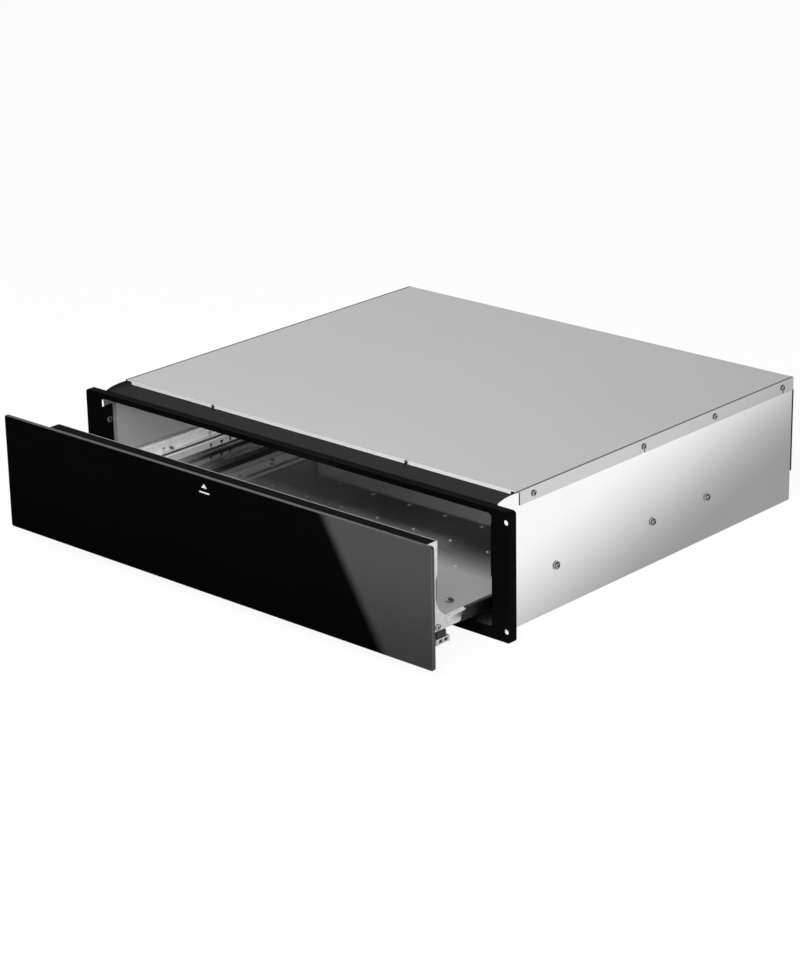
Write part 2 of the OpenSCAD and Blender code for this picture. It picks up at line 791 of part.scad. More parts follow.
module glass_bumpers() color("black")
  for (x = [-1, 1] * (glass_w / 2 - bumper_in), z = [glass_z + bumper_rise, glass_top - bumper_rise])
    rod_y(glass_y, glass_y + bumper_t, x, z, bumper_d);

module front_carrier() color([0.05, 0.05, 0.05]) {
  box([-carrier_x, carrier_y, front_z0], [carrier_x, gusset_y, front_top]);
  box([-side_in, carrier_y, front_top - side_t], [side_in, skin_y, front_top]);
  box([-low_x, carrier_y, front_z0], [low_x, skin_y, front_z0 + side_t]);
}

module front_skin() color("gainsboro") difference() {
  union() {
    box([-side_in, skin_y, ledge_z - sheet_t], [side_in, front_y, front_top]);
    box([-low_x, skin_y, front_z0], [low_x, front_y, front_top]);
  }
  rod_y(skin_y - over, front_y + over, knob_x, control_z, shaft_d + loose_clear);
  box([switch_x - switch_cut[0] / 2, skin_y - over, control_z - switch_cut[1] / 2],
      [switch_x + switch_cut[0] / 2, front_y + over, control_z + switch_cut[1] / 2]);
  rod_y(skin_y - over, front_y + over, lamp_x, control_z, lamp_d + hole_clear);
}

module gusset() color("whitesmoke") difference() {
  edge = front_y - gusset_back;
  inner = edge - gusset_step;
  arc_y = inner + gusset_r;
  foot = member_y0;
  sweep = acos((arc_y - foot) / gusset_r);
  along_x(side_in, drawer_x) polygon(concat(
    [[gusset_y, gusset_z0], [foot, gusset_z0]],
    [for (i = [arc_steps : -1 : 0]) let (a = sweep * i / arc_steps)
      [arc_y - gusset_r * cos(a), arc_z - gusset_r * sin(a)]],
    [[inner, step_z0], [edge, step_z1], [edge, front_top], [gusset_y, front_top]]
  ));
  rod_x(side_in - over, drawer_x + over, front_y - rivet_back, rivet_z, rivet_d + hole_clear);
}

// Tray

module drawer_side() color("gainsboro") difference() {
  union() {
    box([side_in, member_y0, gusset_z0], [drawer_x, tray_y, side_top]);
    along_y(tray_y - side_t, tray_y) polygon([
      [drawer_x, gusset_z0], [side_in - corner_foot, gusset_z0], [side_in - corner_mid, corner_mid_z],
      [side_in - corner_head, corner_z1], [drawer_x, corner_z1]
    ]);
  }
  for (y = side_hole_ys()) rod_x(side_in - over, drawer_x + over, y, side_hole_z, side_hole_d);
}

function tray_half() = [
  [slope_x, floor_z], [ledge_x, riser_z], [ledge_x, ledge_z], [side_in - sheet_t, ledge_z],
  [side_in - sheet_t, rim_top], [side_in, rim_top], [side_in, ledge_z - sheet_t],
  [ledge_x + sheet_t, ledge_z - sheet_t], [ledge_x + sheet_t, riser_z - sheet_t / 2],
  [slope_x + sheet_t / 2, floor_z - sheet_t]
];

module tray_pan() color("gray") difference() {
  union() {
    along_y(front_y, tray_y) polygon(concat(
      tray_half(),
      [for (i = [len(tray_half()) - 1 : -1 : 0]) [-tray_half()[i][0], tray_half()[i][1]]]
    ));
    for (i = [0 : stud_columns - 1], j = [0 : stud_rows - 1])
      translate([stud_x0 + i * stud_pitch_x, front_y + stud_setback + j * stud_pitch_y, floor_z])
        cylinder(h = stud_h, d1 = stud_d, d2 = stud_top_d);
  }
  both_sides() box([side_in - sheet_t - over, tray_y - rim_short, ledge_z],
                   [side_in + over, tray_y + over, rim_top + over]);
  both_sides() rod_z(under_z, floor_z + over, tray_screw_x, tray_screw_y, tray_screw_d + hole_clear);
}

module drawer_rear_wall() color("gainsboro")
  box([-drawer_x, tray_y, under_z], [drawer_x, wall_y, wall_top]);

module drawer_striker() color("lightsteelblue") difference() {
  union() {
    box([-striker_w / 2, wall_y, striker_z], [striker_w / 2, wall_y + striker_len, striker_z + striker_t]);
    box([-striker_foot[0] / 2, wall_y, striker_z + striker_t - striker_foot[1]],
        [striker_foot[0] / 2, wall_y + striker_t, striker_z + striker_t]);
  }
  box([-window_w / 2, wall_y + window_in, striker_z - over],
      [window_w / 2, wall_y + window_in + window_len, striker_z + striker_t + over]);
}

module mat(z0, z1) difference() {
  box([heater_in - slope_x, front_y + heater_in, z0], [slope_x - heater_in, tray_y - heater_in, z1]);
  both_sides() rod_z(z0 - over, z1 + over, tray_screw_x, tray_screw_y, tray_screw_d + loose_clear);
}

module heater_mat() color("orange") mat(mat_z1, pan_floor);

module insulation_mat() color("khaki") mat(under_z + sheet_t + felt_gap, mat_z1 - felt_gap);

module under_pan() color("silver") difference() {
  box([-under_x, front_y + under_setback, under_z], [under_x, tray_y, pan_floor]);
  box([sheet_t - under_x, front_y + under_setback + sheet_t, under_z + sheet_t],
      [under_x - sheet_t, tray_y - sheet_t, pan_floor + over]);
  both_sides() rod_z(under_z - over, pan_floor, tray_screw_x, tray_screw_y, tray_screw_d + hole_clear);
}

module corner_block() color([0.1, 0.1, 0.1])
  box([drawer_x - corner_block_size[0], front_y - block_front, under_z + bracket_size[2]],
      [drawer_x, front_y - block_front + corner_block_size[1], ledge_z - sheet_t]);

module front_bracket() difference() {
  box([drawer_x - bracket_size[0], front_y - bracket_front, under_z],
      [drawer_x, front_y - bracket_front + bracket_size[1], under_z + bracket_size[2]]);
  for (i = [0 : bracket_slots - 1])
    translate([drawer_x - side_t, front_y - bracket_front + bracket_slot_in + i * bracket_pitch,
               under_z + (bracket_size[2] - bracket_slot[1]) / 2])
      cube([side_t + over, bracket_slot[0], bracket_slot[1]]);
}

module front_brackets() color("gainsboro") both_sides() front_bracket();

// Controls

module thermostat() color("ivory") difference() {
  box([knob_x - stat_size[0] / 2, skin_y - stat_size[1], control_z - stat_size[2] / 2],
      [knob_x + stat_size[0] / 2, skin_y, control_z + stat_size[2] / 2]);
  rod_y(skin_y - shaft_in - knob_gap, skin_y + over, knob_x, control_z, shaft_d + 2 * shaft_fit);
}

module control_knob() color("black") {
  rod_y(skin_y - shaft_in, front_y + knob_gap, knob_x, control_z, shaft_d);
  translate([knob_x, front_y + knob_gap, control_z]) rotate([-90, 0, 0])
    cylinder(h = knob_h, d1 = knob_d, d2 = knob_top_d);
  translate([knob_x - knob_mark[0] / 2, front_y + knob_gap + knob_h, control_z + knob_mark_z])
    cube(knob_mark);
}

module switch_housing() color([0.1, 0.1, 0.1]) {
  difference() {
    union() {
      translate([switch_x - switch_size[0] / 2, front_y - switch_size[1], control_z - switch_size[2] / 2])
        cube(switch_size);
      translate([switch_x - bezel_size[0] / 2, front_y, control_z - bezel_size[2] / 2]) cube(bezel_size);
    }
    rod_x(switch_x - rocker_w / 2 - rocker_gap, switch_x + rocker_w / 2 + rocker_gap,
          rocker_y, control_z, 2 * (rocker_r + rocker_gap));
  }
  rod_x(switch_x - rocker_w / 2 - over, switch_x + rocker_w / 2 + over, rocker_y, control_z, pin_d);
}

module rocker() color("firebrick") difference() {
  translate([0, rocker_y, control_z]) rotate([-rocker_tilt, 0, 0])
    along_x(switch_x - rocker_w / 2, switch_x + rocker_w / 2)
      polygon([[-rocker_back, -rocker_tail], [rocker_face, -rocker_tip], [rocker_dish, 0],
               [rocker_face, rocker_tip], [-rocker_back, rocker_tail]]);
  rod_x(switch_x - rocker_w, switch_x + rocker_w, rocker_y, control_z, pin_d + 2 * shaft_fit);
}

module pilot_lamp() color("orangered") {
  rod_y(front_y - lamp_len, front_y, lamp_x, control_z, lamp_d);
  rod_y(front_y, front_y + lamp_lens_h, lamp_x, control_z, lamp_lens_d);
}

// Fasteners

module lid_screws() color("silver") {
  both_sides() for (y = side_screw_ys())
    screw_out(wall_x + sheet_t, y, side_screw_z, lid_screw_d, side_head_d, side_head_h, side_screw_len);
  for (s = lip_screw_shares)
    screw_front(s * cab_w, lid_y, lip_screw_z, lip_screw_d, lip_head_d, lip_head_h, lip_screw_len);
}

module slide_screws() color("silver") both_sides() for (y = slide_screw_ys())
  screw_out(wall_x + washer_t, y, slide_screw_z, slide_screw_d, slide_head_d, slide_head_h,
            washer_t + sheet_t + slide_t + slide_tail);

module slide_washers() color("silver") both_sides() for (y = slide_screw_ys()) difference() {
  rod_x(wall_x, wall_x + washer_t, y, slide_screw_z, washer_d);
  rod_x(wall_x - over, wall_x + washer_t + over, y, slide_screw_z, slide_screw_d + hole_clear);
}

module frame_screws() color("silver") both_sides()
  screw_in(in_x - tab_t, tab_screw_y, tab_screw_z, tab_screw_d, tab_head_d, tab_head_h,
           tab_t + sheet_t + tab_tail);

module rear_screws() color("silver") for (x = cover_screw_xs(), z = cover_screw_zs())
  screw_back(x, y_back + cover_d, z, lid_screw_d, side_head_d, side_head_h,
             cover_d + sheet_t + side_screw_len);

module drawer_screws() color("silver") both_sides() {
  screw_out(drawer_x, front_y - rivet_back, rivet_z, rivet_d, rivet_head_d, rivet_head_h, side_t);
  translate([tray_screw_x, tray_screw_y, floor_z])
    screw(tray_screw_d, tray_head_d, tray_head_h, under_drop);
}

base_pan();
left() side_wall();  // side_wall_left
side_wall();  // side_wall_right
rear_panel();
rear_cover();
lid();
top_bridge();
front_frame();
rear_partition();
left() side_liner();  // side_liner_left
side_liner();  // side_liner_right
top_liner();
left() side_insulation();  // side_insulation_left
side_insulation();  // side_insulation_right
lid_insulation();
left() outer_slide();  // outer_slide_left
outer_slide();  // outer_slide_right
lid_screws();
slide_screws();
slide_washers();
frame_screws();
rear_screws();
latch_housing();
latch_hook();
latch_pin();
latch_spring();
terminal_block();
cable_gland();
thermal_cutout();
left() middle_slide();  // middle_slide_left
middle_slide();  // middle_slide_right
glass_front();
push_mark();
glass_tape();
glass_bumpers();
front_carrier();
front_skin();
left() gusset();  // gusset_left
gusset();  // gusset_right
left() drawer_side();  // drawer_side_left
drawer_side();  // drawer_side_right
left() drawer_slide();  // drawer_slide_left
drawer_slide();  // drawer_slide_right
tray_pan();
drawer_rear_wall();
drawer_striker();
heater_mat();
insulation_mat();
under_pan();
left() corner_block();  // corner_block_left
corner_block();  // corner_block_right
front_brackets();
drawer_screws();
thermostat();
control_knob();
switch_housing();
rocker();
pilot_lamp();
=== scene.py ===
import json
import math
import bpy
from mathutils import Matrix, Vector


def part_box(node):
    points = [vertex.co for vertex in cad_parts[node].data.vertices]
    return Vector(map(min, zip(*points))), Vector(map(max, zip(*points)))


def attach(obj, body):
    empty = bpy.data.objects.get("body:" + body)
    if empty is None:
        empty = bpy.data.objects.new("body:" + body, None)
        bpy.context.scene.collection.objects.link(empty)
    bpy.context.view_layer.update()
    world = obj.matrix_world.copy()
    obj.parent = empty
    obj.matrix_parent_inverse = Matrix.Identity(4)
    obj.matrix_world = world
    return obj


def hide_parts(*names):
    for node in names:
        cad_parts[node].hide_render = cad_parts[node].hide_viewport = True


bl_info = {
    "name": "Warming drawer",
    "version": (1, 0, 0),
    "blender": (4, 5, 0),
    "location": "3D View > Sidebar > Warming drawer",
    "description": "Finishes and fine pieces for a built-in warming drawer with its drawer part open",
    "category": "Object",
}

import bmesh
import bpy
import numpy as np
from bpy.props import FloatProperty, FloatVectorProperty, IntProperty, PointerProperty
from mathutils import Matrix

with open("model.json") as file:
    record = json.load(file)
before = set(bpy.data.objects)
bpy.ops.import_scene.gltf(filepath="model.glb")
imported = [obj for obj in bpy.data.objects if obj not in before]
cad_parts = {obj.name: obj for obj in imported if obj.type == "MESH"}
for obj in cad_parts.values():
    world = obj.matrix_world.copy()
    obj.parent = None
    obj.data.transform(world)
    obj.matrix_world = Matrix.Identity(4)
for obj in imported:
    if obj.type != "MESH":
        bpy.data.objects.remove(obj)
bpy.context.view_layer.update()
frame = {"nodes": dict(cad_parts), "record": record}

MM = 0.001
SLOT_OF = {part["node"]: part["material_slot"] for part in frame["record"]["subparts"]}


# Meshes


def circle(count):
    """Angles of equal steps round a circle."""
    return np.arange(count) * 2 * np.pi / count


def spots(x, y, z):
    """List of points from three arrays or numbers, spread to one shape."""
    return np.stack(np.broadcast_arrays(x, y, z), axis=-1).reshape(-1, 3)


def grid_quads(rows, columns, wrap=False):
    """Quads of a grid of points in row order; with wrap the last column joins the first."""
    row = np.arange(rows - 1)[:, None] * columns
    column = np.arange(columns if wrap else columns - 1)[None, :]
    after = (column + 1) % columns
    corners = [row + column, row + after, row + columns + after, row + columns + column]
    return np.stack(corners, axis=-1).reshape(-1, 4).tolist()


def grid_rim(rows, columns):
    """Numbers of a grid's outer points, once round."""
    index = np.arange(rows * columns).reshape(rows, columns)
    return np.concatenate([index[0, :-1], index[:-1, -1], index[-1, :0:-1], index[:0:-1, 0]])


def joined(shells):
    """One shell from several: each one's face numbers move up by the points that came before."""
    points, faces, start = [], [], 0
    for shell_points, shell_faces in shells:
        points.append(shell_points)
        faces += [[start + corner for corner in face] for face in shell_faces]
        start += len(shell_points)
    return np.concatenate(points), faces


def revolved(profile, sides=48, ring=False, ripple=None):
    """Surface of revolution: each profile point (radius, height) runs round the Z axis.
    With ring the profile is a closed loop. ripple(angle, height) is added to the radius."""
    radius, height = np.array(profile + profile[:1] if ring else profile, float).T[..., None]
    angle = circle(sides)
    out = radius + (ripple(angle, height) if ripple else 0)
    return spots(out * np.cos(angle), out * np.sin(angle), height), grid_quads(len(radius), sides, wrap=True)


def turned(shell, direction, seat, spin=0.0):
    """Shell made along +Z, spun about it, turned to a direction and moved to its seat."""
    points, faces = shell
    z_axis = np.array(direction, float)
    x_axis = np.cross([0, 0, 1], z_axis) if abs(z_axis[2]) < 0.9 else np.array([1.0, 0, 0])
    y_axis = np.cross(z_axis, x_axis)
    cos, sin = math.cos(spin), math.sin(spin)
    local = points @ np.array([[cos, sin, 0], [-sin, cos, 0], [0, 0, 1]])
    return local @ np.array([x_axis, y_axis, z_axis]) + np.array(seat, float), faces


def dome(radius, power, base, rise):
    """Profile of a dome: radius cos(a)^power at height base + rise sin(a), from its rim to its top."""
    arc = np.linspace(0, np.pi / 2, 9)
    return zip(radius * np.cos(arc) ** power, base + rise * np.sin(arc))


def rounded_outline(width, height, radius):
    """Rectangle with round corners about the origin: a quarter circle at each corner in turn."""
    steps = 8
    side, end, quarter = np.repeat([[1, -1, -1, 1], [1, 1, -1, -1], [0, 1, 2, 3]], steps, axis=1)
    angle = np.tile(np.linspace(0, np.pi / 2, steps), 4) + quarter * np.pi / 2
    x = side * (width / 2 - radius) + radius * np.cos(angle)
    return np.stack([x, end * (height / 2 - radius) + radius * np.sin(angle)], axis=-1)


def stacked(loops):
    """Closed shell from loops of equally many points, one after another, with a flat face at each end."""
    count = len(loops[0])
    last = (len(loops) - 1) * count
    faces = grid_quads(len(loops), count, wrap=True)
    faces += [list(range(count))[::-1], list(range(last, last + count))]
    return np.concatenate(loops), faces


def filleted(corners, radius):
    """Path through corners, each inner one rounded by a quadratic curve from a point a radius before it,
    (1 - s)^2 start + 2 s (1 - s) corner + s^2 end, to a point a radius after it."""
    corners = np.array(corners, float)
    share = np.linspace(0, 1, 6)[:, None]
    path = [corners[:1]]
    for before, corner, after in zip(corners[:-2], corners[1:-1], corners[2:]):
        start = corner + (before - corner) / np.linalg.norm(before - corner) * radius
        end = corner + (after - corner) / np.linalg.norm(after - corner) * radius
        path.append((1 - share) ** 2 * start + 2 * share * (1 - share) * corner + share**2 * end)
    return np.concatenate(path + [corners[-1:]])


def mesh_of(name, points, faces, materials, indices=None, outward=False):
    """Mesh from points in metres, doubles merged, with its materials and each face's number in them.
    With outward its faces are turned outward."""
    mesh = bpy.data.meshes.new(name)
    mesh.from_pydata(points.tolist(), [], faces)
    for material in materials:
        mesh.materials.append(material)
    if indices is not None:
        mesh.polygons.foreach_set("material_index", np.asarray(indices, np.int32))
    work = bmesh.new()
    work.from_mesh(mesh)
    bmesh.ops.remove_doubles(work, verts=work.verts, dist=1e-7)
    bmesh.ops.dissolve_degenerate(work, edges=work.edges, dist=1e-8)
    if outward:
        bmesh.ops.recalc_face_normals(work, faces=work.faces)
    work.to_mesh(mesh)
    work.free()
    return mesh


def piece(name, shell, body, replaced, *materials, outward=True, indices=None, sharp=35):
    """A piece from a shell in millimetres, on its body and in a CAD node's place. The first material is its
    slot's. Edges of more than sharp degrees stay sharp."""
    points, faces = shell
    mesh = mesh_of(name, points * MM, faces, [finishes[material] for material in materials], indices, outward)
    mesh.shade_smooth()
    mesh.set_sharp_from_angle(angle=math.radians(sharp))
    made = bpy.data.objects.new(name, mesh)
    bpy.context.scene.collection.objects.link(made)
    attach(made, body)
    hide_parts(replaced)
    return made


def solid_boxes(node):
    """Corners, in millimetres, of each solid of a CAD node. Each point's label is its number, and the lowest
    one spreads over the triangles until all settle."""
    mesh = frame["nodes"][node].data
    places = np.empty(len(mesh.vertices) * 3, np.float32)
    mesh.vertices.foreach_get("co", places)
    corner = np.empty(len(mesh.loops), np.int32)
    mesh.loops.foreach_get("vertex_index", corner)
    unique, index = np.unique(np.round(places.reshape(-1, 3), 6), axis=0, return_inverse=True)
    triangles = index.reshape(-1)[corner].reshape(-1, 3)
    label, spread = None, np.arange(len(unique))
    while label is None or (spread != label).any():
        label, spread = spread, spread.copy()
        np.minimum.at(spread, triangles, label[triangles].min(axis=1)[:, None])
    groups = [unique[label == number] / MM for number in np.unique(label)]
    return [(group.min(axis=0), group.max(axis=0)) for group in groups]


def node_box(node):
    """Lowest and highest corner of a CAD node, in millimetres."""
    low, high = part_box(node)
    return np.array(low) / MM, np.array(high) / MM


# Materials


def tinted(colour, factor):
    """A colour made lighter or darker, kept below white."""
    return tuple(min(0.98, channel * factor) for channel in colour)


class Nodes:
    """The node tree of a world or material. Each call adds nodes and sets or links their inputs."""

    def __init__(self, owner):
        self.owner = owner
        owner.use_nodes = True
        self.tree = owner.node_tree
        self.tree.nodes.clear()

    def add(self, kind, inputs=None, **settings):
        """A node with its settings; inputs are numbers, colours or other nodes' outputs."""
        node = self.tree.nodes.new("ShaderNode" + kind)
        for key, value in settings.items():
            setattr(node, key, value)
        for key, value in (inputs or {}).items():
            if isinstance(value, bpy.types.NodeSocket):
                self.tree.links.new(value, node.inputs[key])
            else:
                node.inputs[key].default_value = value
        return node

    def math(self, operation, *values):
        """Result of an operation on one to three values."""
        return self.add("Math", dict(enumerate(values)), operation=operation).outputs[0]

    def axes(self, vector):
        """The three parts of a vector."""
        return self.add("SeparateXYZ", {"Vector": vector}).outputs

    def span(self, value, low, high, start=0.3, end=0.7, kind="LINEAR"):
        """Map Range of a value from start..end to low..high."""
        inputs = {"Value": value, "From Min": start, "From Max": end, "To Min": low, "To Max": high}
        return self.add("MapRange", inputs, interpolation_type=kind).outputs["Result"]

    def smooth(self, value, low, high, start=0, end=1):
        """The same, eased in and out."""
        return self.span(value, low, high, start, end, "SMOOTHSTEP")

    def either(self, factor, first, second):
        """A number that goes from the first to the second as the factor goes from 0 to 1."""
        return self.add("Mix", {0: factor, 2: first, 3: second}, data_type="FLOAT").outputs[0]

    def rays(self):
        """1 for rays of sight, also through glass, and 1 for rays of gloss."""
        path = self.add("LightPath").outputs
        return self.math("MAXIMUM", path["Is Camera Ray"], path["Is Transmission Ray"]), path["Is Glossy Ray"]


class Finish(Nodes):
    """A material being written."""

    def __init__(self, name):
        super().__init__(bpy.data.materials.new(name))

    def place(self, stretch=(1, 1, 1)):
        """Object coordinates, in metres, stretched along the axes."""
        source = self.add("TexCoord").outputs["Object"]
        return self.add("Mapping", {"Vector": source, "Scale": stretch}).outputs["Vector"]

    def facing(self):
        """The three parts of the surface's direction."""
        return self.axes(self.add("TexCoord").outputs["Normal"])

    def sideways(self):
        """1 where the surface faces left or right."""
        return self.span(self.math("ABSOLUTE", self.facing()[0]), 0, 1, 0.6, 0.8)

    def aside(self):
        """Distance from the middle plane, in metres."""
        return self.math("ABSOLUTE", self.axes(self.place())[0])

    def noise(self, scale, detail, stretch=(1, 1, 1), roughness=0.5):
        """Noise at a scale per metre, stretched along the axes."""
        inputs = {"Vector": self.place(stretch), "Scale": scale, "Detail": detail, "Roughness": roughness}
        return self.add("TexNoise", inputs).outputs["Fac"]

    def lines(self, grain):
        """Brushed or rolled lines, thin along the axis that the grain stretches most."""
        return self.noise(180, 4, grain, 0.65)

    def crystals(self):
        """A tone for each of many cells, a few millimetres wide."""
        cells = self.add("TexVoronoi", {"Vector": self.place(), "Scale": 160.0, "Randomness": 1.0})
        return self.add("SeparateColor", {"Color": cells.outputs["Color"]}).outputs[0]

    def mixed(self, factor, first, second):
        """Colour that goes from the first to the second as the factor goes from 0 to 1."""
        sockets = bpy.types.NodeSocket
        colours = [value if isinstance(value, sockets) else (*value, 1) for value in (first, second)]
        return self.add("Mix", {0: factor, 6: colours[0], 7: colours[1]}, data_type="RGBA").outputs[2]

    def tones(self, value, colour, dark, light, start=0.3, end=0.7):
        """A colour times dark to light, as the value runs from start to end."""
        return self.mixed(self.span(value, 0, 1, start, end), tinted(colour, dark), tinted(colour, light))

    def sum(self, first, second, share):
        """First value plus a share of the second."""
        return self.math("ADD", first, self.math("MULTIPLY", second, share))

    def bump(self, height, depth, strength=1.0, under=None):
        """Bump from a height of 0 to 1, at a depth in millimetres, over another one."""
        inputs = {"Height": height, "Distance": depth * MM, "Strength": strength}
        if under:
            inputs["Normal"] = under
        return self.add("Bump", inputs).outputs["Normal"]

    def shader(self, colours, roughness, relief, **more):
        """Principled surface over a bump, which is given as its values. The names of more inputs have an
        underline for each space."""
        inputs = {key.replace("_", " "): value for key, value in more.items()}
        inputs.update({"Base Color": colours, "Roughness": roughness, "Normal": self.bump(*relief)})
        surface = self.add("BsdfPrincipled", inputs)
        self.add("OutputMaterial", {"Surface": surface.outputs["BSDF"]})
        return self.owner


def sheet_steel(finish, colour, roughness, grain, depth, wave=0.02, mottle=0.02, metal=1.0):
    """Rolled or brushed steel: fine lines along the grain, a broad faint tone and a slight wave."""
    lines, broad, smudge = finish.lines(grain), finish.noise(9, 2), finish.noise(38, 3)
    colours = finish.tones(finish.sum(broad, lines, 0.35), colour, 1 - mottle, 1 + mottle, 0.45, 0.9)
    rough = finish.span(finish.sum(lines, smudge, 0.8), roughness * 0.9, roughness * 1.12, 0.5, 1.3)
    waves = finish.bump(finish.noise(5, 1), wave)
    return finish.shader(colours, rough, (lines, depth, 0.6, waves), Metallic=metal)


def lid_steel(finish, colour, roughness):
    """Satin steel brushed across. The rolled front edge is a painted highlight, near white and not metallic;
    the sharp bends along the sides and the flanges' front ends carry a painted shade and stay dark."""
    bend_start, bend_end = 0.2714, 0.2719
    lines, cloud = finish.lines((1, 40, 1)), finish.noise(6, 2)
    satin = finish.tones(finish.sum(cloud, lines, 0.3), colour, 0.99, 1.01, 0.4, 0.9)
    facing = finish.facing()
    side = finish.span(finish.aside(), 0, 1, bend_start, bend_end)
    front = finish.span(facing[1], 0, 1, -0.5, -0.7)
    top = finish.span(facing[2], 0, 1, 0.4, 0.6)
    # Painted shade: near black on the top faces and front ends beyond the side bends
    dark = finish.math("MULTIPLY", finish.math("MAXIMUM", front, top), side)
    # Painted highlight: near white and not metallic on the front faces between the bends
    painted_lip_highlight = finish.math("MULTIPLY", front, finish.math("SUBTRACT", 1.0, side))
    bends = finish.mixed(dark, satin, tinted(colour, 0.13))
    rough = finish.span(lines, roughness * 0.94, roughness * 1.06)
    metal = finish.span(painted_lip_highlight, 1, 0, 0, 1)
    return finish.shader(finish.mixed(painted_lip_highlight, bends, (0.98,) * 3), rough, (lines, 0.001, 0.3), Metallic=metal)


def tray_steel(finish, colour, painted_lit_colour, roughness):
    """Polished steel with painted light and shade: the front band, lit through the opening, is painted light,
    rougher and less metallic; the middle and the rear are painted darker as shade.
    """
    lit_y, shaded_y = -0.16, -0.09
    lines, broad = finish.lines((1, 30, 1)), finish.noise(9, 2)
    tone = finish.sum(broad, lines, 0.35)
    # The shaded and the lit tone of the painted light
    dark = finish.tones(tone, colour, 0.97, 1.03, 0.45, 0.9)
    light = finish.tones(tone, painted_lit_colour, 0.98, 1.02, 0.45, 0.9)
    along = finish.math("MULTIPLY_ADD", broad, 0.03, finish.axes(finish.place())[1])
    # Painted shade: 0 over the lit front band, 1 over the shaded middle and rear; it also sets gloss and
    # metal
    painted_tray_shade = finish.span(along, 0, 1, lit_y, shaded_y)
    metal = finish.span(painted_tray_shade, 0.35, 0.95, 0, 1)
    rough = finish.span(painted_tray_shade, roughness * 5, roughness, 0, 1)
    return finish.shader(finish.mixed(painted_tray_shade, light, dark), rough, (lines, 0.0005, 0.6), Metallic=metal)


def galvanised(finish, colour, roughness, metal=0.8, edges=False):
    """Hot-dipped steel: crystals a few millimetres wide that differ in tone and gloss.
    With edges the side edges of a cover carry a painted shade and stay near black."""
    edge_start, edge_end = 0.2732, 0.2734
    shade = finish.crystals()
    if edges:
        even = finish.tones(shade, colour, 0.9, 1.05, 0, 1)
        # Painted shade: near black beyond edge_start at the cover's sides
        side = finish.span(finish.aside(), 0, 1, edge_start, edge_end)
        colours = finish.mixed(side, even, tinted(colour, 0.06))
    else:
        colours = finish.tones(finish.sum(finish.noise(22, 3), shade, 0.4), colour, 0.86, 1.08, 0.4, 0.95)
    rough = finish.span(shade, roughness * 0.85, roughness * 1.2, 0, 1)
    return finish.shader(colours, rough, (finish.noise(300, 3), 0.012, 0.5), Metallic=metal)


def plated(finish, colour, roughness, metal=1.0):
    """Zinc or nickel plate: near-even tone with faint clouds and tiny pits."""
    cloud, pits = finish.noise(60, 3), finish.noise(900, 2)
    rough = finish.span(finish.sum(cloud, pits, 0.5), roughness * 0.9, roughness * 1.15, 0.5, 1.0)
    return finish.shader(finish.tones(cloud, colour, 0.98, 1.02), rough, (pits, 0.008, 0.5), Metallic=metal)


def bracket_zinc(finish, colour, roughness, slot):
    """Zinc brackets: an even plate with a painted shade, near black, on the slots' floors, which lie slot
    metres from the middle plane.
    """
    apart = finish.math("ABSOLUTE", finish.math("SUBTRACT", finish.aside(), slot))
    # Painted shade: 1 on the sideways faces at the slots' floors
    floor = finish.math("MULTIPLY", finish.span(apart, 1, 0, 0.0002, 0.0003), finish.sideways())
    cloud = finish.noise(60, 3)
    colours = finish.mixed(floor, finish.tones(cloud, colour, 0.96, 1.03), tinted(colour, 0.03))
    rough = finish.span(cloud, roughness * 0.85, roughness * 1.15)
    return finish.shader(colours, rough, (cloud, 0.01, 0.4), Metallic=0.4)


def washer_zinc(finish, colour, roughness):
    """Zinc washers: bright flat faces, and a painted shade that keeps the punched rim dark."""
    pits = finish.noise(900, 2)
    # Painted shade on the sideways faces of the rim
    colours = finish.mixed(finish.sideways(), tinted(colour, 0.2), finish.tones(pits, colour, 0.95, 1.03))
    rough = finish.span(pits, roughness * 0.9, roughness * 1.2)
    return finish.shader(colours, rough, (pits, 0.008, 0.5), Metallic=0.2)


def painted(finish, colour, roughness, index):
    """Powder coat: fine orange peel with slightly uneven gloss."""
    peel, cloud = finish.noise(700, 2), finish.noise(14, 3)
    rough = finish.span(finish.sum(cloud, peel, 0.5), roughness * 0.88, roughness * 1.15, 0.5, 1.0)
    return finish.shader(finish.tones(cloud, colour, 0.85, 1.2), rough, (peel, 0.012, 0.6), IOR=index)


def moulded(finish, colour, roughness):
    """Moulded plastic: spark-eroded grain and faint flow marks."""
    grain = finish.noise(1400, 2)
    colours = finish.tones(finish.noise(30, 2, (1, 1, 4)), colour, 0.92, 1.1)
    rough = finish.span(grain, roughness * 0.9, roughness * 1.12)
    return finish.shader(colours, rough, (grain, 0.015, 0.5), Specular_IOR_Level=0.4)


def black_glass(finish, colour, index):
    """Back-painted black glass: smooth face with faint wiping marks in the gloss."""
    wipes = finish.noise(7, 3, (1, 1, 3))
    colours, rough = finish.tones(wipes, colour, 0.9, 1.1), finish.span(wipes, 0.018, 0.032)
    return finish.shader(colours, rough, (finish.noise(3, 1), 0.01, 0.4), IOR=index, Specular_IOR_Level=0.5)


def felted(finish, colour):
    """Mineral felt: matted fibres from stretched noises that cross, with a nap."""
    fibres = finish.sum(finish.noise(500, 3, (1, 6, 6), 0.7), finish.noise(500, 3, (6, 1, 6), 0.7), 0.8)
    colours = finish.tones(fibres, colour, 0.78, 1.12, 0.6, 1.15)
    return finish.shader(colours, 0.95, (fibres, 0.25, 0.8), Sheen_Weight=0.2, Sheen_Roughness=0.6)


def ground_glass(finish, colour, index):
    """Ground and polished edge of the glass: fine scratches along it over a grey body."""
    lines = finish.noise(300, 3, (1, 12, 12))
    colours, rough = finish.tones(lines, colour, 0.8, 1.2), finish.span(lines, 0.22, 0.36)
    return finish.shader(colours, rough, (lines, 0.01, 0.5), IOR=index)


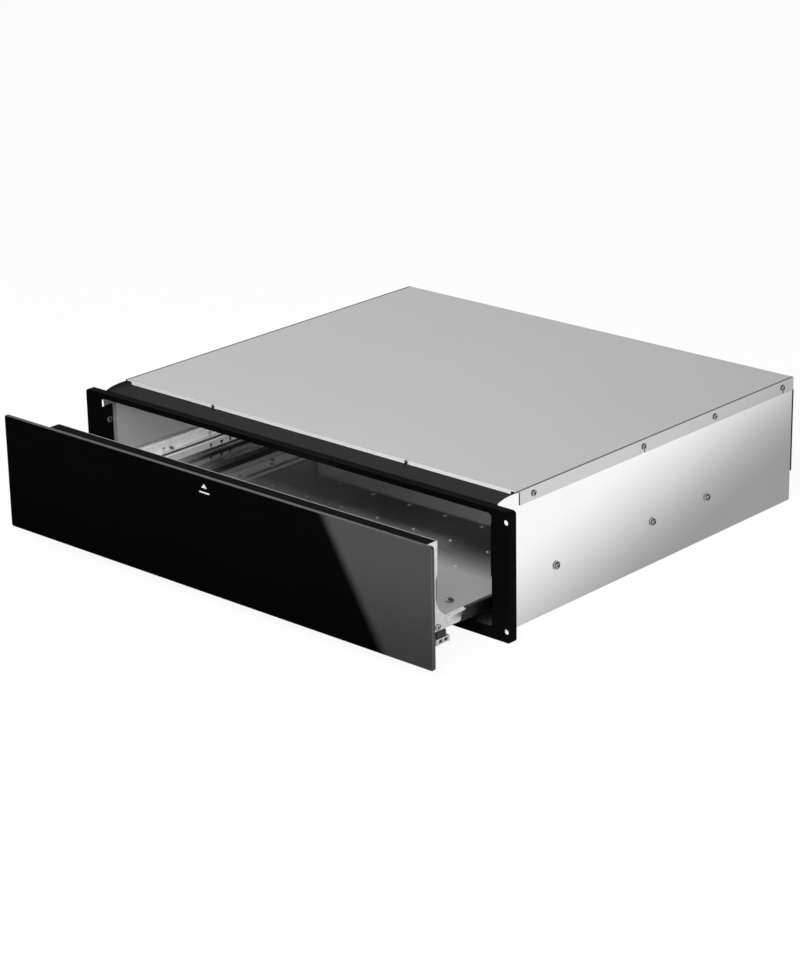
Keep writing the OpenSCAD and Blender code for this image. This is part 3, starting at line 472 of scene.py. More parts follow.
def printed(finish, colour):
    """Screen print: a fine mesh in an even coat of ink."""
    mesh = finish.noise(2500, 1)
    return finish.shader(finish.tones(mesh, colour, 0.94, 1.05), 0.45, (mesh, 0.004, 0.4))


def red_lens(finish, colour):
    """Translucent red plastic with a pebbled inside."""
    pebble = finish.noise(1200, 1)
    colours = finish.tones(pebble, colour, 0.85, 1.15)
    return finish.shader(colours, 0.16, (pebble, 0.02, 0.4), Transmission_Weight=0.35, Coat_Weight=0.3)


def brass_plate(finish, colour):
    """Rolled brass with faint tarnish."""
    stain = finish.noise(120, 4)
    colours, rough = finish.tones(stain, colour, 0.78, 1.08), finish.span(stain, 0.22, 0.4)
    return finish.shader(colours, rough, (stain, 0.01, 0.4), Metallic=1.0)


def heater_silicone(finish, colour):
    """Silicone heater: its wire shows as close parallel ridges."""
    inputs = {"Vector": finish.place(), "Scale": 32.0, "Distortion": 0.4, "Detail": 1.0}
    wire = finish.add("TexWave", inputs).outputs["Fac"]
    return finish.shader(finish.tones(wire, colour, 0.8, 1.15, 0, 1), 0.5, (wire, 0.3, 0.7))


finishes = {}


def make_finishes(looks):
    """One material for each of the record's slots, and some that stand in for a slot's own on a few nodes."""
    glass_index = 1.52
    slot_depth = 0.001
    across, along, upright = (30, 1, 1), (1, 30, 1), (1, 1, 30)

    def make(name, recipe, *values, **named):
        finishes[name] = recipe(Finish(name), *values, **named)

    make("lid_steel", lid_steel, looks.lid, 0.26)
    make("wall_steel", sheet_steel, looks.wall, 0.07, upright, 0.001, mottle=0.015)
    make("cabinet_steel", galvanised, looks.cabinet, 0.32, 0.6)
    # Cover: galvanised, with a painted shade on its side edges
    make("cover_steel", galvanised, looks.cabinet, 0.3, 1.0, edges=True)
    # Painted shade: the rear partition is the cabinet's galvanised steel, darkened to a third for the shade
    # it lies in
    make("partition_steel", galvanised, tinted(looks.cabinet, 0.35), 0.3, 0.6)
    make("pan_steel", galvanised, looks.pan, 0.35)
    # Painted light and shade: the side liners and the ceiling are one bright steel; the side liners are
    # painted darker, the ceiling lighter and more diffuse
    make("liner_steel", sheet_steel, looks.liner, 0.16, upright, 0.002, wave=0.03, mottle=0.04, metal=0.3)
    make("ceiling_steel", sheet_steel, looks.ceiling, 0.3, along, 0.003, metal=0.2)
    make("drawer_steel", sheet_steel, looks.drawer, 0.26, along, 0.002, metal=0.3)
    make("rear_steel", sheet_steel, looks.drawer, 0.24, across, 0.002, metal=0.55)
    make("skin_steel", sheet_steel, tinted(looks.drawer, 0.6), 0.36, (0.5, 1, 30), 0.001, metal=0.8)
    # The tray's own colour is its shaded tone; the lighter one is the painted light at the front
    make("tray_steel", tray_steel, looks.tray, tinted(looks.drawer, 0.7), 0.05)
    make("bridge_paint", painted, looks.bridge, 0.6, 1.12)
    make("black_paint", painted, looks.frame, 0.42, 1.05)
    make("felt", felted, looks.felt)
    make("zinc", plated, looks.zinc, 0.26, 0.1)
    # Painted shade: the middle slides are zinc-plated like the others; this near-black zinc stands for the
    # shade inside their open channels
    make("dark_zinc", plated, looks.dark_zinc, 0.35)
    make("screw_zinc", plated, looks.screw, 0.16)
    # Painted shade for the screws' recesses and the sides of their heads
    make("recess_zinc", plated, tinted(looks.screw, 0.12), 0.4)
    make("washer_zinc", washer_zinc, looks.zinc, 0.3)
    slot = node_box("front_brackets")[1][0] * MM - slot_depth
    make("bracket_zinc", bracket_zinc, tinted(looks.zinc, 0.8), 0.4, slot)
    make("black_glass", black_glass, looks.glass, glass_index)
    make("glass_edge", ground_glass, looks.glass_edge, glass_index)
    make("white_print", printed, looks.mark)
    make("tape", moulded, looks.tape, 0.8)
    make("rubber", moulded, looks.rubber, 0.7)
    make("black_plastic", moulded, looks.plastic, 0.42)
    make("white_plastic", moulded, looks.white_plastic, 0.4)
    make("red_plastic", red_lens, looks.lens)
    make("brass", brass_plate, looks.brass)
    make("heater_foil", heater_silicone, looks.heater)


def dress(nodes, edge=0.25, special=None, flat=False):
    """Gives CAD nodes their slot's material or a special one, welds them and softens their edges by edge
    millimetres. With flat, coplanar triangles are merged first, so that broad bright faces stay even."""
    for name in nodes:
        node = frame["nodes"][name]
        node.data.materials.clear()
        node.data.materials.append(finishes[special or SLOT_OF[name]])
        if edge:
            node.modifiers.new("weld", "WELD").merge_threshold = 1e-6
            if flat:
                merge = node.modifiers.new("flat faces", "DECIMATE")
                merge.decimate_type = "DISSOLVE"
                merge.angle_limit = math.radians(0.3)
            bevel = node.modifiers.new("soft edges", "BEVEL")
            bevel.width = edge * MM
            bevel.segments = 2
            bevel.limit_method = "ANGLE"
            bevel.angle_limit = math.radians(40)
            bevel.harden_normals = True


# Sizes and colours


def colour_property(name, description, grey):
    """A colour property, from a grey or a colour."""
    value = (grey, grey, grey) if isinstance(grey, float) else grey
    return FloatVectorProperty(
        name=name, description=description, subtype="COLOR", size=3, min=0, max=1, default=value
    )


def length_property(name, description, value):
    """A length property, given in millimetres."""
    return FloatProperty(name=name, description=description, unit="LENGTH", default=value * MM, min=0)


def share_property(name, description, value):
    """A share of something, or another plain number."""
    return FloatProperty(name=name, description=description, default=value)


def power_property(name, description, value):
    """A lamp's power, in watts."""
    return FloatProperty(name=name, description=description, default=value, subtype="POWER", unit="POWER")


class DrawerColours(bpy.types.PropertyGroup):
    """Colours of the finishes."""

    lid: colour_property("Lid", "Satin steel of the lid", 0.64)
    wall: colour_property("Walls", "Bright steel of the side walls", 0.94)
    cabinet: colour_property("Cabinet", "Galvanised steel of the cabinet", 0.7)
    # Painted shade: the side liners are darker than their bright steel; the ceiling below is painted lighter
    liner: colour_property("Liners", "Bright steel behind the opening", 0.45)
    ceiling: colour_property("Ceiling", "Steel of the liner above the tray", 0.8)
    bridge: colour_property("Bridge", "Matte paint of the sheet behind the frame", 0.023)
    frame: colour_property("Frame", "Semi-gloss paint of the frame", 0.003)
    felt: colour_property("Felt", "Mineral felt", (0.8, 0.78, 0.7))
    zinc: colour_property("Zinc", "Bright zinc of the slides", (0.93, 0.93, 0.94))
    # Painted shade: near black for the shade inside the middle slides' open channels
    dark_zinc: colour_property("Dark zinc", "Dark zinc of the middle slides", 0.03)
    screw: colour_property("Screws", "Screws and rivets", 0.34)
    drawer: colour_property("Drawer", "Bright steel of the drawer's sides", 0.8)
    # Tone of the tray in its painted shade, over the middle and the rear
    tray: colour_property("Tray", "Polished steel of the tray", 0.2)
    pan: colour_property("Cover", "Galvanised cover under the tray", 0.4)
    glass: colour_property("Glass", "Black behind the glass", 0.0008)
    glass_edge: colour_property("Glass edge", "Ground edge of the glass", 0.05)
    mark: colour_property("Mark", "Ink of the printed mark", 0.8)
    tape: colour_property("Tape", "Foam tape", 0.15)
    rubber: colour_property("Rubber", "Bumpers", 0.02)
    heater: colour_property("Heater", "Silicone heater", (0.6, 0.25, 0.05))
    plastic: colour_property("Black plastic", "Controls and gland", 0.02)
    white_plastic: colour_property("White plastic", "Terminals and thermostat", (0.8, 0.8, 0.76))
    brass: colour_property("Brass", "Thermal cut-out", (0.7, 0.55, 0.3))
    lens: colour_property("Lens", "Pilot lamp and rocker", (0.6, 0.05, 0.03))


class GlassSizes(bpy.types.PropertyGroup):
    """Sizes of the glass front."""

    corner: length_property("Corner radius", "Round corners of the glass", 3.0)
    arris: length_property("Arris", "Width of the polished arris round the glass", 0.9)
    print_lift: length_property("Print thickness", "How far the printed mark stands proud", 0.03)
    bumper_crown: length_property("Bumper crown", "Height of the bumpers' domes", 0.9)


class TraySizes(bpy.types.PropertyGroup):
    """Sizes of the pressed tray."""

    bend: length_property("Bend radius", "Radius of the tray's bends", 0.8)
    stud_base: length_property("Stud foot", "Diameter of a stud at the floor", 4.8)
    stud_top: length_property("Stud top", "Diameter of a stud's flat top", 2.0)
    stud_height: length_property("Stud height", "Height of a stud", 1.15)


class ScrewSizes(bpy.types.PropertyGroup):
    """Sizes of the screws."""

    pitch: length_property("Pitch", "Distance between the threads' turns", 0.7)
    arm: share_property("Recess arm", "Half width of the recess, as a share of the head", 0.13)
    reach: share_property("Recess reach", "Reach of the recess, as a share of the head", 0.56)
    depth: share_property("Recess depth", "Depth of the recess, as a share of the head", 0.6)


class ControlSizes(bpy.types.PropertyGroup):
    """Sizes of the knob, the spring and the felt."""

    flutes: IntProperty(name="Flutes", description="Flutes round the knob", default=24, min=6)
    flute_depth: length_property("Flute depth", "Depth of a flute", 0.5)
    spring_wire: length_property("Spring wire", "Thickness of the latch spring's wire", 0.7)
    felt_swell: length_property("Felt swell", "How far the felt's faces rise and fall", 0.35)


class StageLooks(bpy.types.PropertyGroup):
    """Floor, lamps and camera."""

    floor: colour_property("Floor", "Pale floor", 0.8)
    ambient: share_property("Ambient", "Strength of the even light", 0.42)
    key: power_property("Key", "Power of the lamp at the left", 8.0)
    front: power_property("Front", "Power of the lamp in front", 23.0)
    bounce: power_property("Bounce", "Power of the light thrown back inside the tray", 0.44)
    lens: FloatProperty(
        name="Lens", description="Focal length", default=107.97, unit="CAMERA", subtype="DISTANCE_CAMERA"
    )


# Stage


def floor_finish(looks):
    """Pale floor that keeps its shadow. Seen directly it is white. In gloss it shows white to the right, with
    a painted shade towards the cabinet and the rear, and painted dark in front of the drawer left of a
    slanting line."""
    finish = Finish("floor")
    wall_x = 0.2735
    across, along, _ = finish.axes(finish.place())

    def slope(x_share, y_share, offset, low, high):
        """Smooth step from low to high as x_share x + y_share y + offset goes from 0 to 1."""
        first = finish.math("MULTIPLY_ADD", across, x_share, offset)
        return finish.smooth(finish.math("MULTIPLY_ADD", along, y_share, first), low, high)

    def glow(strength):
        """White light."""
        return finish.add("Emission", {"Color": (1, 1, 1, 1), "Strength": strength}).outputs[0]

    def blend(factor, first, second):
        """Surface that goes from the first to the second as the factor goes from 0 to 1."""
        return finish.add("MixShader", {0: factor, 1: first, 2: second}).outputs[0]

    # Painted shade and reflection, seen only in gloss: darker near the cabinet's right wall, towards the
    # rear, and in front of the drawer
    beside = slope(5.5, -1.5, 0.1 - 5.5 * wall_x, 0.34, 1.0)
    bright = slope(51.0, -66.0, -35.9, 0.02, 1.0)
    painted_rear_fade = slope(0, -4.5, -1.62, 0.7, 1.4)
    painted_front_dark = slope(0, -14.0, -4.3, 0, 1)
    gloss = finish.either(painted_front_dark, beside, finish.math("MULTIPLY", bright, painted_rear_fade))
    sight, mirror = finish.rays()
    colours = finish.tones(finish.noise(60, 3), looks.floor, 0.985, 1.015)
    plain = finish.add("BsdfDiffuse", {"Color": colours}).outputs[0]
    both = blend(sight, blend(mirror, plain, glow(gloss)), blend(0.12, glow(1.05), plain))
    finish.add("OutputMaterial", {"Surface": both})
    return finish.owner


def studio_world(looks):
    """White seen directly; in gloss a sky that brightens upward at the left and darkens to the back right."""
    sky = Nodes(bpy.data.worlds.new("studio"))
    direction = sky.add("TexCoord").outputs["Generated"]
    across, _, upward = sky.axes(direction)
    rear_right = (0.45, 0.66, 0.6)
    towards = sky.add("VectorMath", {0: direction, 1: rear_right}, operation="DOT_PRODUCT").outputs["Value"]
    high, right = sky.smooth(upward, 0.25, 1.05, 0.12, 0.42), sky.smooth(across, 0, 1.15, 0.15, 0.55)
    shaded = sky.math("MULTIPLY", high, sky.smooth(towards, 1.0, 0.1, 0.31, 0.93))
    beside = sky.math("MULTIPLY", right, sky.smooth(upward, 1.0, 0.0, 0.2, 0.5))
    sight, mirror = sky.rays()
    light = sky.either(mirror, looks.ambient, sky.math("MAXIMUM", shaded, beside))
    background = sky.add("Background", {"Color": (1, 1, 1, 1), "Strength": sky.either(sight, light, 1.0)})
    sky.add("OutputWorld", {"Surface": background.outputs[0]})
    return sky.owner


def looking(back, place, roll=0.0):
    """Matrix of a camera or lamp at a place: its right, up and back, rolled about the line of sight."""
    right = np.cross([0, 0, 1], back)
    right /= np.linalg.norm(right)
    up = np.cross(back, right)
    cos, sin = math.cos(roll), math.sin(roll)
    columns = np.stack([cos * right + sin * up, cos * up - sin * right, back, place], axis=1)
    return Matrix(np.vstack([columns, [0, 0, 0, 1]]).tolist())


def add_lamp(name, place, aim, size, power, height=None):
    """Area lamp at a place, turned to its aim, square unless a height is given.
    Metal mirrors the surroundings and not the lamp."""
    data = bpy.data.lights.new(name, "AREA")
    data.shape = "RECTANGLE"
    data.size = size
    data.size_y = height or size
    data.energy = power
    lamp = bpy.data.objects.new(name, data)
    lamp.visible_glossy = False
    back = np.array(place, float) - aim
    lamp.matrix_world = looking(back / np.linalg.norm(back), place)
    bpy.context.scene.collection.objects.link(lamp)
    return lamp


class DRAWER_OT_stage(bpy.types.Operator):
    """Floor, lamps, world and camera"""

    bl_idname = "drawer.stage"
    bl_label = "Stage"

    def execute(self, context):
        looks = context.scene.drawer_stage
        scene = context.scene
        scene.view_settings.view_transform = "Standard"
        scene.world = studio_world(looks)
        floor_z = -0.0006
        points, faces = revolved([(reach, floor_z) for reach in (0, 0.5, 1, 2, 4, 9)], 64)
        floor = bpy.data.objects.new("floor", mesh_of("floor", points, faces, [floor_finish(looks)]))
        scene.collection.objects.link(floor)
        add_lamp("key", (-1.7, -1.5, 2.2), aim=(0, 0, 0), size=1.6, power=looks.key)
        add_lamp("front", (0.85, -1.5, 1.15), aim=(-0.05, -0.22, 0.05), size=0.9, power=looks.front)
        inside, aim = (0.1, -0.19, 0.088), (-0.65, 0.26, 0.35)
        bounce = add_lamp("bounce", inside, aim, size=0.24, power=looks.bounce, height=0.05)
        bounce.visible_camera = False
        data = bpy.data.cameras.new("camera")
        data.lens = looks.lens
        data.sensor_width = 36
        data.clip_end = 50
        camera = bpy.data.objects.new("camera", data)
        azimuth, elevation, roll = np.radians([42.456, 20.117, -1.068])
        level = math.cos(elevation)
        back = np.array([math.sin(azimuth) * level, -math.cos(azimuth) * level, math.sin(elevation)])
        camera.matrix_world = looking(back, (1.92635, -2.18521, 1.09521), roll)
        scene.collection.objects.link(camera)
        scene.camera = camera
        return {"FINISHED"}


# Cabinet, frame and slides


class DRAWER_OT_cabinet(bpy.types.Operator):
    """Lid, walls, base, back and liners of the cabinet"""

    bl_idname = "drawer.cabinet"
    bl_label = "Cabinet sheets"

    def execute(self, context):
        make_finishes(context.scene.drawer_colours)
        dress(["side_wall_left", "side_wall_right", "base_pan", "rear_panel"], 0.3, flat=True)
        dress(["lid"], 0.3)
        dress(["rear_cover"], 0.3, "cover_steel", flat=True)
        dress(["top_liner"], 0.15, "ceiling_steel")
        dress(["side_liner_left", "side_liner_right"], 0.15, flat=True)
        dress(["rear_partition"], 0.15, "partition_steel")
        return {"FINISHED"}


class DRAWER_OT_frame(bpy.types.Operator):
    """Front frame and the bridge behind it"""

    bl_idname = "drawer.frame"
    bl_label = "Front frame"

    def execute(self, context):
        dress(["front_frame", "top_bridge"], 0.3)
        return {"FINISHED"}


class DRAWER_OT_slides(bpy.types.Operator):
    """Telescopic slides"""

    bl_idname = "drawer.slides"
    bl_label = "Slides"

    def execute(self, context):
        for side in ("left", "right"):
            dress([f"{member}_slide_{side}" for member in ("outer", "middle", "drawer")], 0.2)
        dress(["slide_washers"], 0.1, "washer_zinc")
        return {"FINISHED"}


# Glass front and drawer


class DRAWER_OT_glass(bpy.types.Operator):
    """Glass front with its mark, tape and bumpers"""

    bl_idname = "drawer.glass"
    bl_label = "Glass front"

    def execute(self, context):
        sizes = context.scene.drawer_glass
        low, high = node_box("glass_front")
        middle = (low + high) / 2
        arris, corner = sizes.arris / MM, sizes.corner / MM
        face = low[1] + sizes.print_lift / MM
        turn = np.linspace(0, np.pi / 2, 4)
        inset, rise = arris * (1 - np.sin(turn)), arris * (1 - np.cos(turn))
        loops = []
        for step, y in zip([*inset, *inset[::-1]], [*(face + rise), *(high[1] - rise[::-1])]):
            width, height = high[0] - low[0] - 2 * step, high[2] - low[2] - 2 * step
            outline = rounded_outline(width, height, max(corner - step, 0.5))
            loops.append(spots(outline[:, 0] + middle[0], y, outline[:, 1] + middle[2]))
        shell = stacked(loops)
        arris_faces = 3 * len(loops[0])
        tones = [1] * arris_faces + [0] * (len(shell[1]) - arris_faces)
        materials = ["black_glass", "glass_edge"]
        piece("glass_panel", shell, "drawer", "glass_front", *materials, indices=tones, sharp=12)
        dress(["push_mark", "glass_tape"], 0)
        crown = sizes.bumper_crown / MM
        domes = []
        for lowest, highest in solid_boxes("glass_bumpers"):
            radius = (highest[0] - lowest[0]) / 2
            profile = [(0, 0), (radius, 0), *dome(radius, 0.6, 0.25 * crown, 0.75 * crown)]
            centre = (lowest + highest) / 2
            domes.append(turned(revolved(profile, 32), (0, 1, 0), (centre[0], lowest[1], centre[2])))
        piece("bumper_domes", joined(domes), "drawer", "glass_bumpers", "rubber")
        return {"FINISHED"}


class DRAWER_OT_front_box(bpy.types.Operator):
    """Folded box behind the glass, drawer sides and rear wall"""

    bl_idname = "drawer.front_box"
    bl_label = "Front box and sides"

    def execute(self, context):
        dress(["front_carrier", "gusset_left", "gusset_right", "drawer_side_left", "drawer_side_right"])
        dress(["front_skin"], special="skin_steel")
        dress(["drawer_rear_wall"], special="rear_steel")
        dress(["corner_block_left", "corner_block_right"], 0.4)
        dress(["front_brackets"], 0.1, "bracket_zinc")
        return {"FINISHED"}


class DRAWER_OT_tray(bpy.types.Operator):
    """Pressed tray with its ledges and studs"""

    bl_idname = "drawer.tray"
    bl_label = "Tray"

    def execute(self, context):
        sizes = context.scene.drawer_tray
        low, high = node_box("tray_pan")
        sheet = 0.8
        floor_z, ledge_z, riser_z = 18.0, 27.3, 21.7
        rim_x, ledge_x, slope_x, floor_x = high[0] - sheet, 244.4, 241.0, 216.0
        rim_notch_z, rim_notch_y = ledge_z + 1.2, high[1] - 1.3
        corners = [(rim_x, high[2]), (rim_x, ledge_z), (ledge_x, ledge_z), (ledge_x, riser_z)]
        half = filleted(corners + [(slope_x, floor_z), (floor_x, floor_z)], sizes.bend / MM)

        # Grid lines: close together over the studs, with a few between them and at the ends
        stud_dx, stud_dy = 51.0, 50.0
        columns, rows = -204 + stud_dx * np.arange(8), -216.5 + stud_dy * np.arange(6)
        foot, top = sizes.stud_base / MM / 2, sizes.stud_top / MM / 2
        near = np.concatenate([[-1.4], np.linspace(-1.04, 1.04, 13), [1.4]]) * foot
        across = [(columns[:, None] + near).ravel(), columns[:-1] + 17, columns[:-1] + 34, [-212.0, 212.0]]
        across = np.sort(np.concatenate(across))
        along = [(rows[:, None] + near).ravel(), rows[:-1] + 17, rows[:-1] + 33]
        along += [np.linspace(low[1], rows[0] - 6, 8), np.linspace(rows[-1] + 6, high[1], 6)]
        along = np.sort(np.concatenate(along))[:, None]

        flat = np.stack([across[::-1], np.full(len(across), floor_z)], axis=-1)
        section = np.concatenate([half, flat, (half * [-1, 1])[::-1]])
        x, y, z = np.broadcast_arrays(section[:, 0], along, section[:, 1])
        away_x = np.abs(x[..., None] - columns).min(axis=-1)
        away_y = np.abs(y[..., None] - rows).min(axis=-1)
        share = np.clip((foot - np.hypot(away_x, away_y)) / (foot - top), 0, 1)
        z = z + (z < floor_z + 0.01) * sizes.stud_height / MM * share**2 * (3 - 2 * share)
        y = np.where((np.abs(x) > rim_x - 0.01) & (z > rim_notch_z), np.minimum(y, rim_notch_y), y)
        shell = (spots(x, y, z), [face[::-1] for face in grid_quads(len(along), len(section))])
        tray = piece("tray", shell, "drawer", "tray_pan", "tray_steel", outward=False)
        solid = tray.modifiers.new("sheet", "SOLIDIFY")
        solid.thickness = sheet * MM
        solid.offset = -1
        return {"FINISHED"}


class DRAWER_OT_heater(bpy.types.Operator):
    """Heater under the tray and its cover"""

    bl_idname = "drawer.heater"
    bl_label = "Heater"

    def execute(self, context):
        dress(["heater_mat"], 0)
        dress(["under_pan"])
        return {"FINISHED"}


def felt_slab(low, high, thin, swell, seed):
    """Felt board between two corners. Its two broad faces are grids of the two long axes, moved in by a few
    crossing sine waves and rounded off towards the rim, and a strip round the rim closes them."""
    rows, columns, waves_in_all = 31, 41, 5
    random = np.random.default_rng(seed)
    wide = [axis for axis in range(3) if axis != thin]
    u, v = np.meshgrid(np.linspace(0, 1, columns), np.linspace(0, 1, rows))
    counts = random.integers(2, 7, waves_in_all), random.integers(2, 6, waves_in_all)
    phases = random.uniform(0, 6.28, waves_in_all)
    waves = sum(np.sin(2 * np.pi * (a * u + b * v) + phase) for a, b, phase in zip(*counts, phases))
    size = high - low
    swell = min(swell, 0.2 * size[thin])
    rim = np.minimum(np.minimum(u, 1 - u) * size[wide[0]], np.minimum(v, 1 - v) * size[wide[1]])
    inward = swell * (0.5 - waves / 10) + 0.22 * size[thin] * np.exp(-rim / 4)
    grids = []
    for end, sign in ((low[thin], 1), (high[thin], -1)):
        grid = np.empty((rows, columns, 3))
        grid[..., wide[0]] = low[wide[0]] + size[wide[0]] * u
        grid[..., wide[1]] = low[wide[1]] + size[wide[1]] * v
        grid[..., thin] = end + sign * inward
        grids.append((grid.reshape(-1, 3), grid_quads(rows, columns)))
    points, faces = joined(grids)
    loop = grid_rim(rows, columns)
    after, other = np.roll(loop, -1), rows * columns
    return points, faces + np.stack([loop, after, after + other, loop + other], axis=-1).tolist()


class DRAWER_OT_felt(bpy.types.Operator):
    """Felt boards behind the liners and under the heater"""

    bl_idname = "drawer.felt"
    bl_label = "Felt"

    def execute(self, context):
        swell = context.scene.drawer_controls.felt_swell / MM
        boards = [
            ("side_insulation_left", "side_felt_left", 0, "cabinet"),
            ("side_insulation_right", "side_felt_right", 0, "cabinet"),
            ("lid_insulation", "lid_felt", 2, "cabinet"),
            ("insulation_mat", "heater_felt", 2, "drawer"),
        ]
        for seed, (node, name, thin, body) in enumerate(boards):
            piece(name, felt_slab(*node_box(node), thin, swell, seed), body, node, "felt")
        return {"FINISHED"}


# Fasteners


def screw_shell(head_d, head_h, shank_d, length, sizes, recess, rim):
    """Pan-head screw along +Z with its seat at zero. The head's top is a square grid mapped on a disc,
    x = u sqrt(1 - v v / 2) and y = v sqrt(1 - u u / 2), its height h (0.45 + 0.55 (1 - r^2.4)), less a
    cross-shaped recess or a rivet's round one. Loops from its rim then run down the side, across the seat and
    down a shank whose radius follows a helix. The second value is each face's tone: 1 in the recess, and rim
    down the head's side. A tone of 1 picks the second material, a painted shade."""
    arm, reach = sizes.arm, sizes.reach
    side = np.array([0.0, arm * 0.55, arm, arm + 0.05, 0.3, 0.42, reach, reach + 0.05, 0.72, 0.84, 0.93, 1.0])
    lines = np.concatenate([-side[:0:-1], side])
    u, v = np.meshgrid(lines, lines)
    x, y = u * np.sqrt(1 - v * v / 2), v * np.sqrt(1 - u * u / 2)
    r = np.minimum(np.hypot(x, y), 1)
    z = head_h * (0.45 + 0.55 * (1 - r**2.4))
    if recess:
        across = (np.abs(u) <= arm + 1e-9) & (np.abs(v) <= reach + 1e-9)
        sunk = across | across.T
        z = np.where(sunk, z - sizes.depth * head_h * (1 - 0.5 * (r / reach) ** 2), z)
    else:
        sunk = r < 0.35
        z = z - 0.35 * head_h * np.clip((0.34 - r) / 0.06, 0, 1)
    top = spots(x * head_d / 2, y * head_d / 2, z)
    loop = grid_rim(len(lines), len(lines))
    unit = top[loop, :2] / (head_d / 2)
    angle = np.arctan2(unit[:, 1], unit[:, 0])

    # Rings from under the head to the tip, and how deep the thread cuts into each
    pitch, tip, thread_share = sizes.pitch / MM, 0.2, 0.11
    turns = np.arange(0, max(length - 2 * tip, 0.2), pitch / 5)
    depth = np.concatenate([[0.0, 0.0], -turns, [tip - length, -length, -length]])[:, None]
    radius = np.full(depth.shape, shank_d / 2)
    radius[0], radius[-3:, 0] = head_d / 2, [shank_d * 0.4, shank_d * 0.3, 0.0]
    thread = np.zeros(depth.shape)
    thread[2:-3] = thread_share * shank_d
    out = radius - thread * (0.5 - 0.5 * np.cos(2 * np.pi * depth / pitch + angle))
    rings = spots(out * unit[:, 0], out * unit[:, 1], depth)

    start, size = len(top), len(loop)
    below = start + np.arange(size)
    skirt = np.stack([loop, below, np.roll(below, -1), np.roll(loop, -1)], axis=-1).tolist()
    quads = grid_quads(len(depth), size, wrap=True)
    points, faces = joined([(top, grid_quads(len(lines), len(lines))), (rings, quads)])
    count = (len(lines) - 1) ** 2
    shaded = (sunk[:-1, :-1] & sunk[1:, :-1] & sunk[:-1, 1:] & sunk[1:, 1:]).ravel()
    tones = np.concatenate([shaded, np.full(size, rim), np.zeros(len(faces) - count)]).astype(int)
    return (points, faces[:count] + skirt + faces[count:]), tones.tolist()


def driven(node, sizes, head_d, head_h, shank_d, direction, beside=None, recess=True, rim=1):
    """Shell and tones of a screw for each solid of a node. With beside they are only those at the sides or,
    if it is False, between them. The direction is the head's in the right half, mirrored at the left."""
    side_x, first_turn, next_turn = 250, 0.5, 2.4
    screws = []
    for number, (low, high) in enumerate(solid_boxes(node)):
        centre = (low + high) / 2
        if beside not in (None, abs(centre[0]) > side_x):
            continue
        axis = np.array(direction, float) * (math.copysign(1, centre[0]), 1, 1)
        along = int(np.argmax(np.abs(axis)))
        seat = centre.copy()
        seat[along] = high[along] - head_h if axis[along] > 0 else low[along] + head_h
        length = high[along] - low[along] - head_h
        shell, tones = screw_shell(head_d, head_h, shank_d, length, sizes, recess, rim)
        screws.append((turned(shell, axis, seat, first_turn + number * next_turn), tones))
    return screws


class DRAWER_OT_screws(bpy.types.Operator):
    """Screws and rivets"""

    bl_idname = "drawer.screws"
    bl_label = "Screws"

    def execute(self, context):
        sizes = context.scene.drawer_screws
        outward, inward, forward, backward, upward = (1, 0, 0), (-1, 0, 0), (0, -1, 0), (0, 1, 0), (0, 0, 1)

        # Head's diameter and height, shank's diameter, direction, and if need be beside, recess and rim
        kinds = {
            "lid_screws": [(6.4, 1.8, 3, outward, True), (4.4, 1.6, 2.2, forward, False)],
            "slide_screws": [(7.4, 2.6, 3.6, outward)],
            "frame_screws": [(7, 1.6, 3, inward)],
            "rear_screws": [(6.4, 1.8, 3, backward)],
            "drawer_screws": [(9, 2.8, 4, upward, False, True, 0), (7, 1.4, 3, outward, True, False)],
        }
        for node, kind in kinds.items():
            screws = sum((driven(node, sizes, *values) for values in kind), [])
            tones = sum((tones for _, tones in screws), [])
            shell = joined([shell for shell, _ in screws])
            body = "drawer" if node == "drawer_screws" else "cabinet"
            name = node.replace("screws", "screw_set")
            # The second material is a painted shade in the recesses and down the heads' sides
            piece(name, shell, body, node, "screw_zinc", "recess_zinc", indices=tones)
        return {"FINISHED"}


# Latch


class DRAWER_OT_latch(bpy.types.Operator):
    """Push latch: housing, hook, pin, spring and striker"""

    bl_idname = "drawer.latch"
    bl_label = "Latch"

    def execute(self, context):
        dress(["latch_housing", "latch_hook", "drawer_striker"], 0.3)
        dress(["latch_pin"], 0.2)
        low, high = node_box("latch_spring")
        wire = context.scene.drawer_controls.spring_wire / MM / 2
        middle = (low + high) / 2
        radius = (high[0] - low[0]) / 2 - wire
        turns, sides = 2.5, 12
        share = np.linspace(0, 1, 121)[:, None]
        thick = wire * np.clip(np.sin(np.pi * share) * 40, 0, 1) ** 0.5
        angle, around = 2 * np.pi * turns * share, circle(sides)
        out = radius + thick * np.cos(around)
        z = low[2] + wire + (high[2] - low[2] - 2 * wire) * share + thick * np.sin(around)
        points = spots(middle[0] + out * np.cos(angle), middle[1] + out * np.sin(angle), z)
        shell = (points, grid_quads(len(share), sides, wrap=True))
        piece("latch_coil", shell, "cabinet", "latch_spring", "screw_zinc")
        return {"FINISHED"}


# Controls and supply


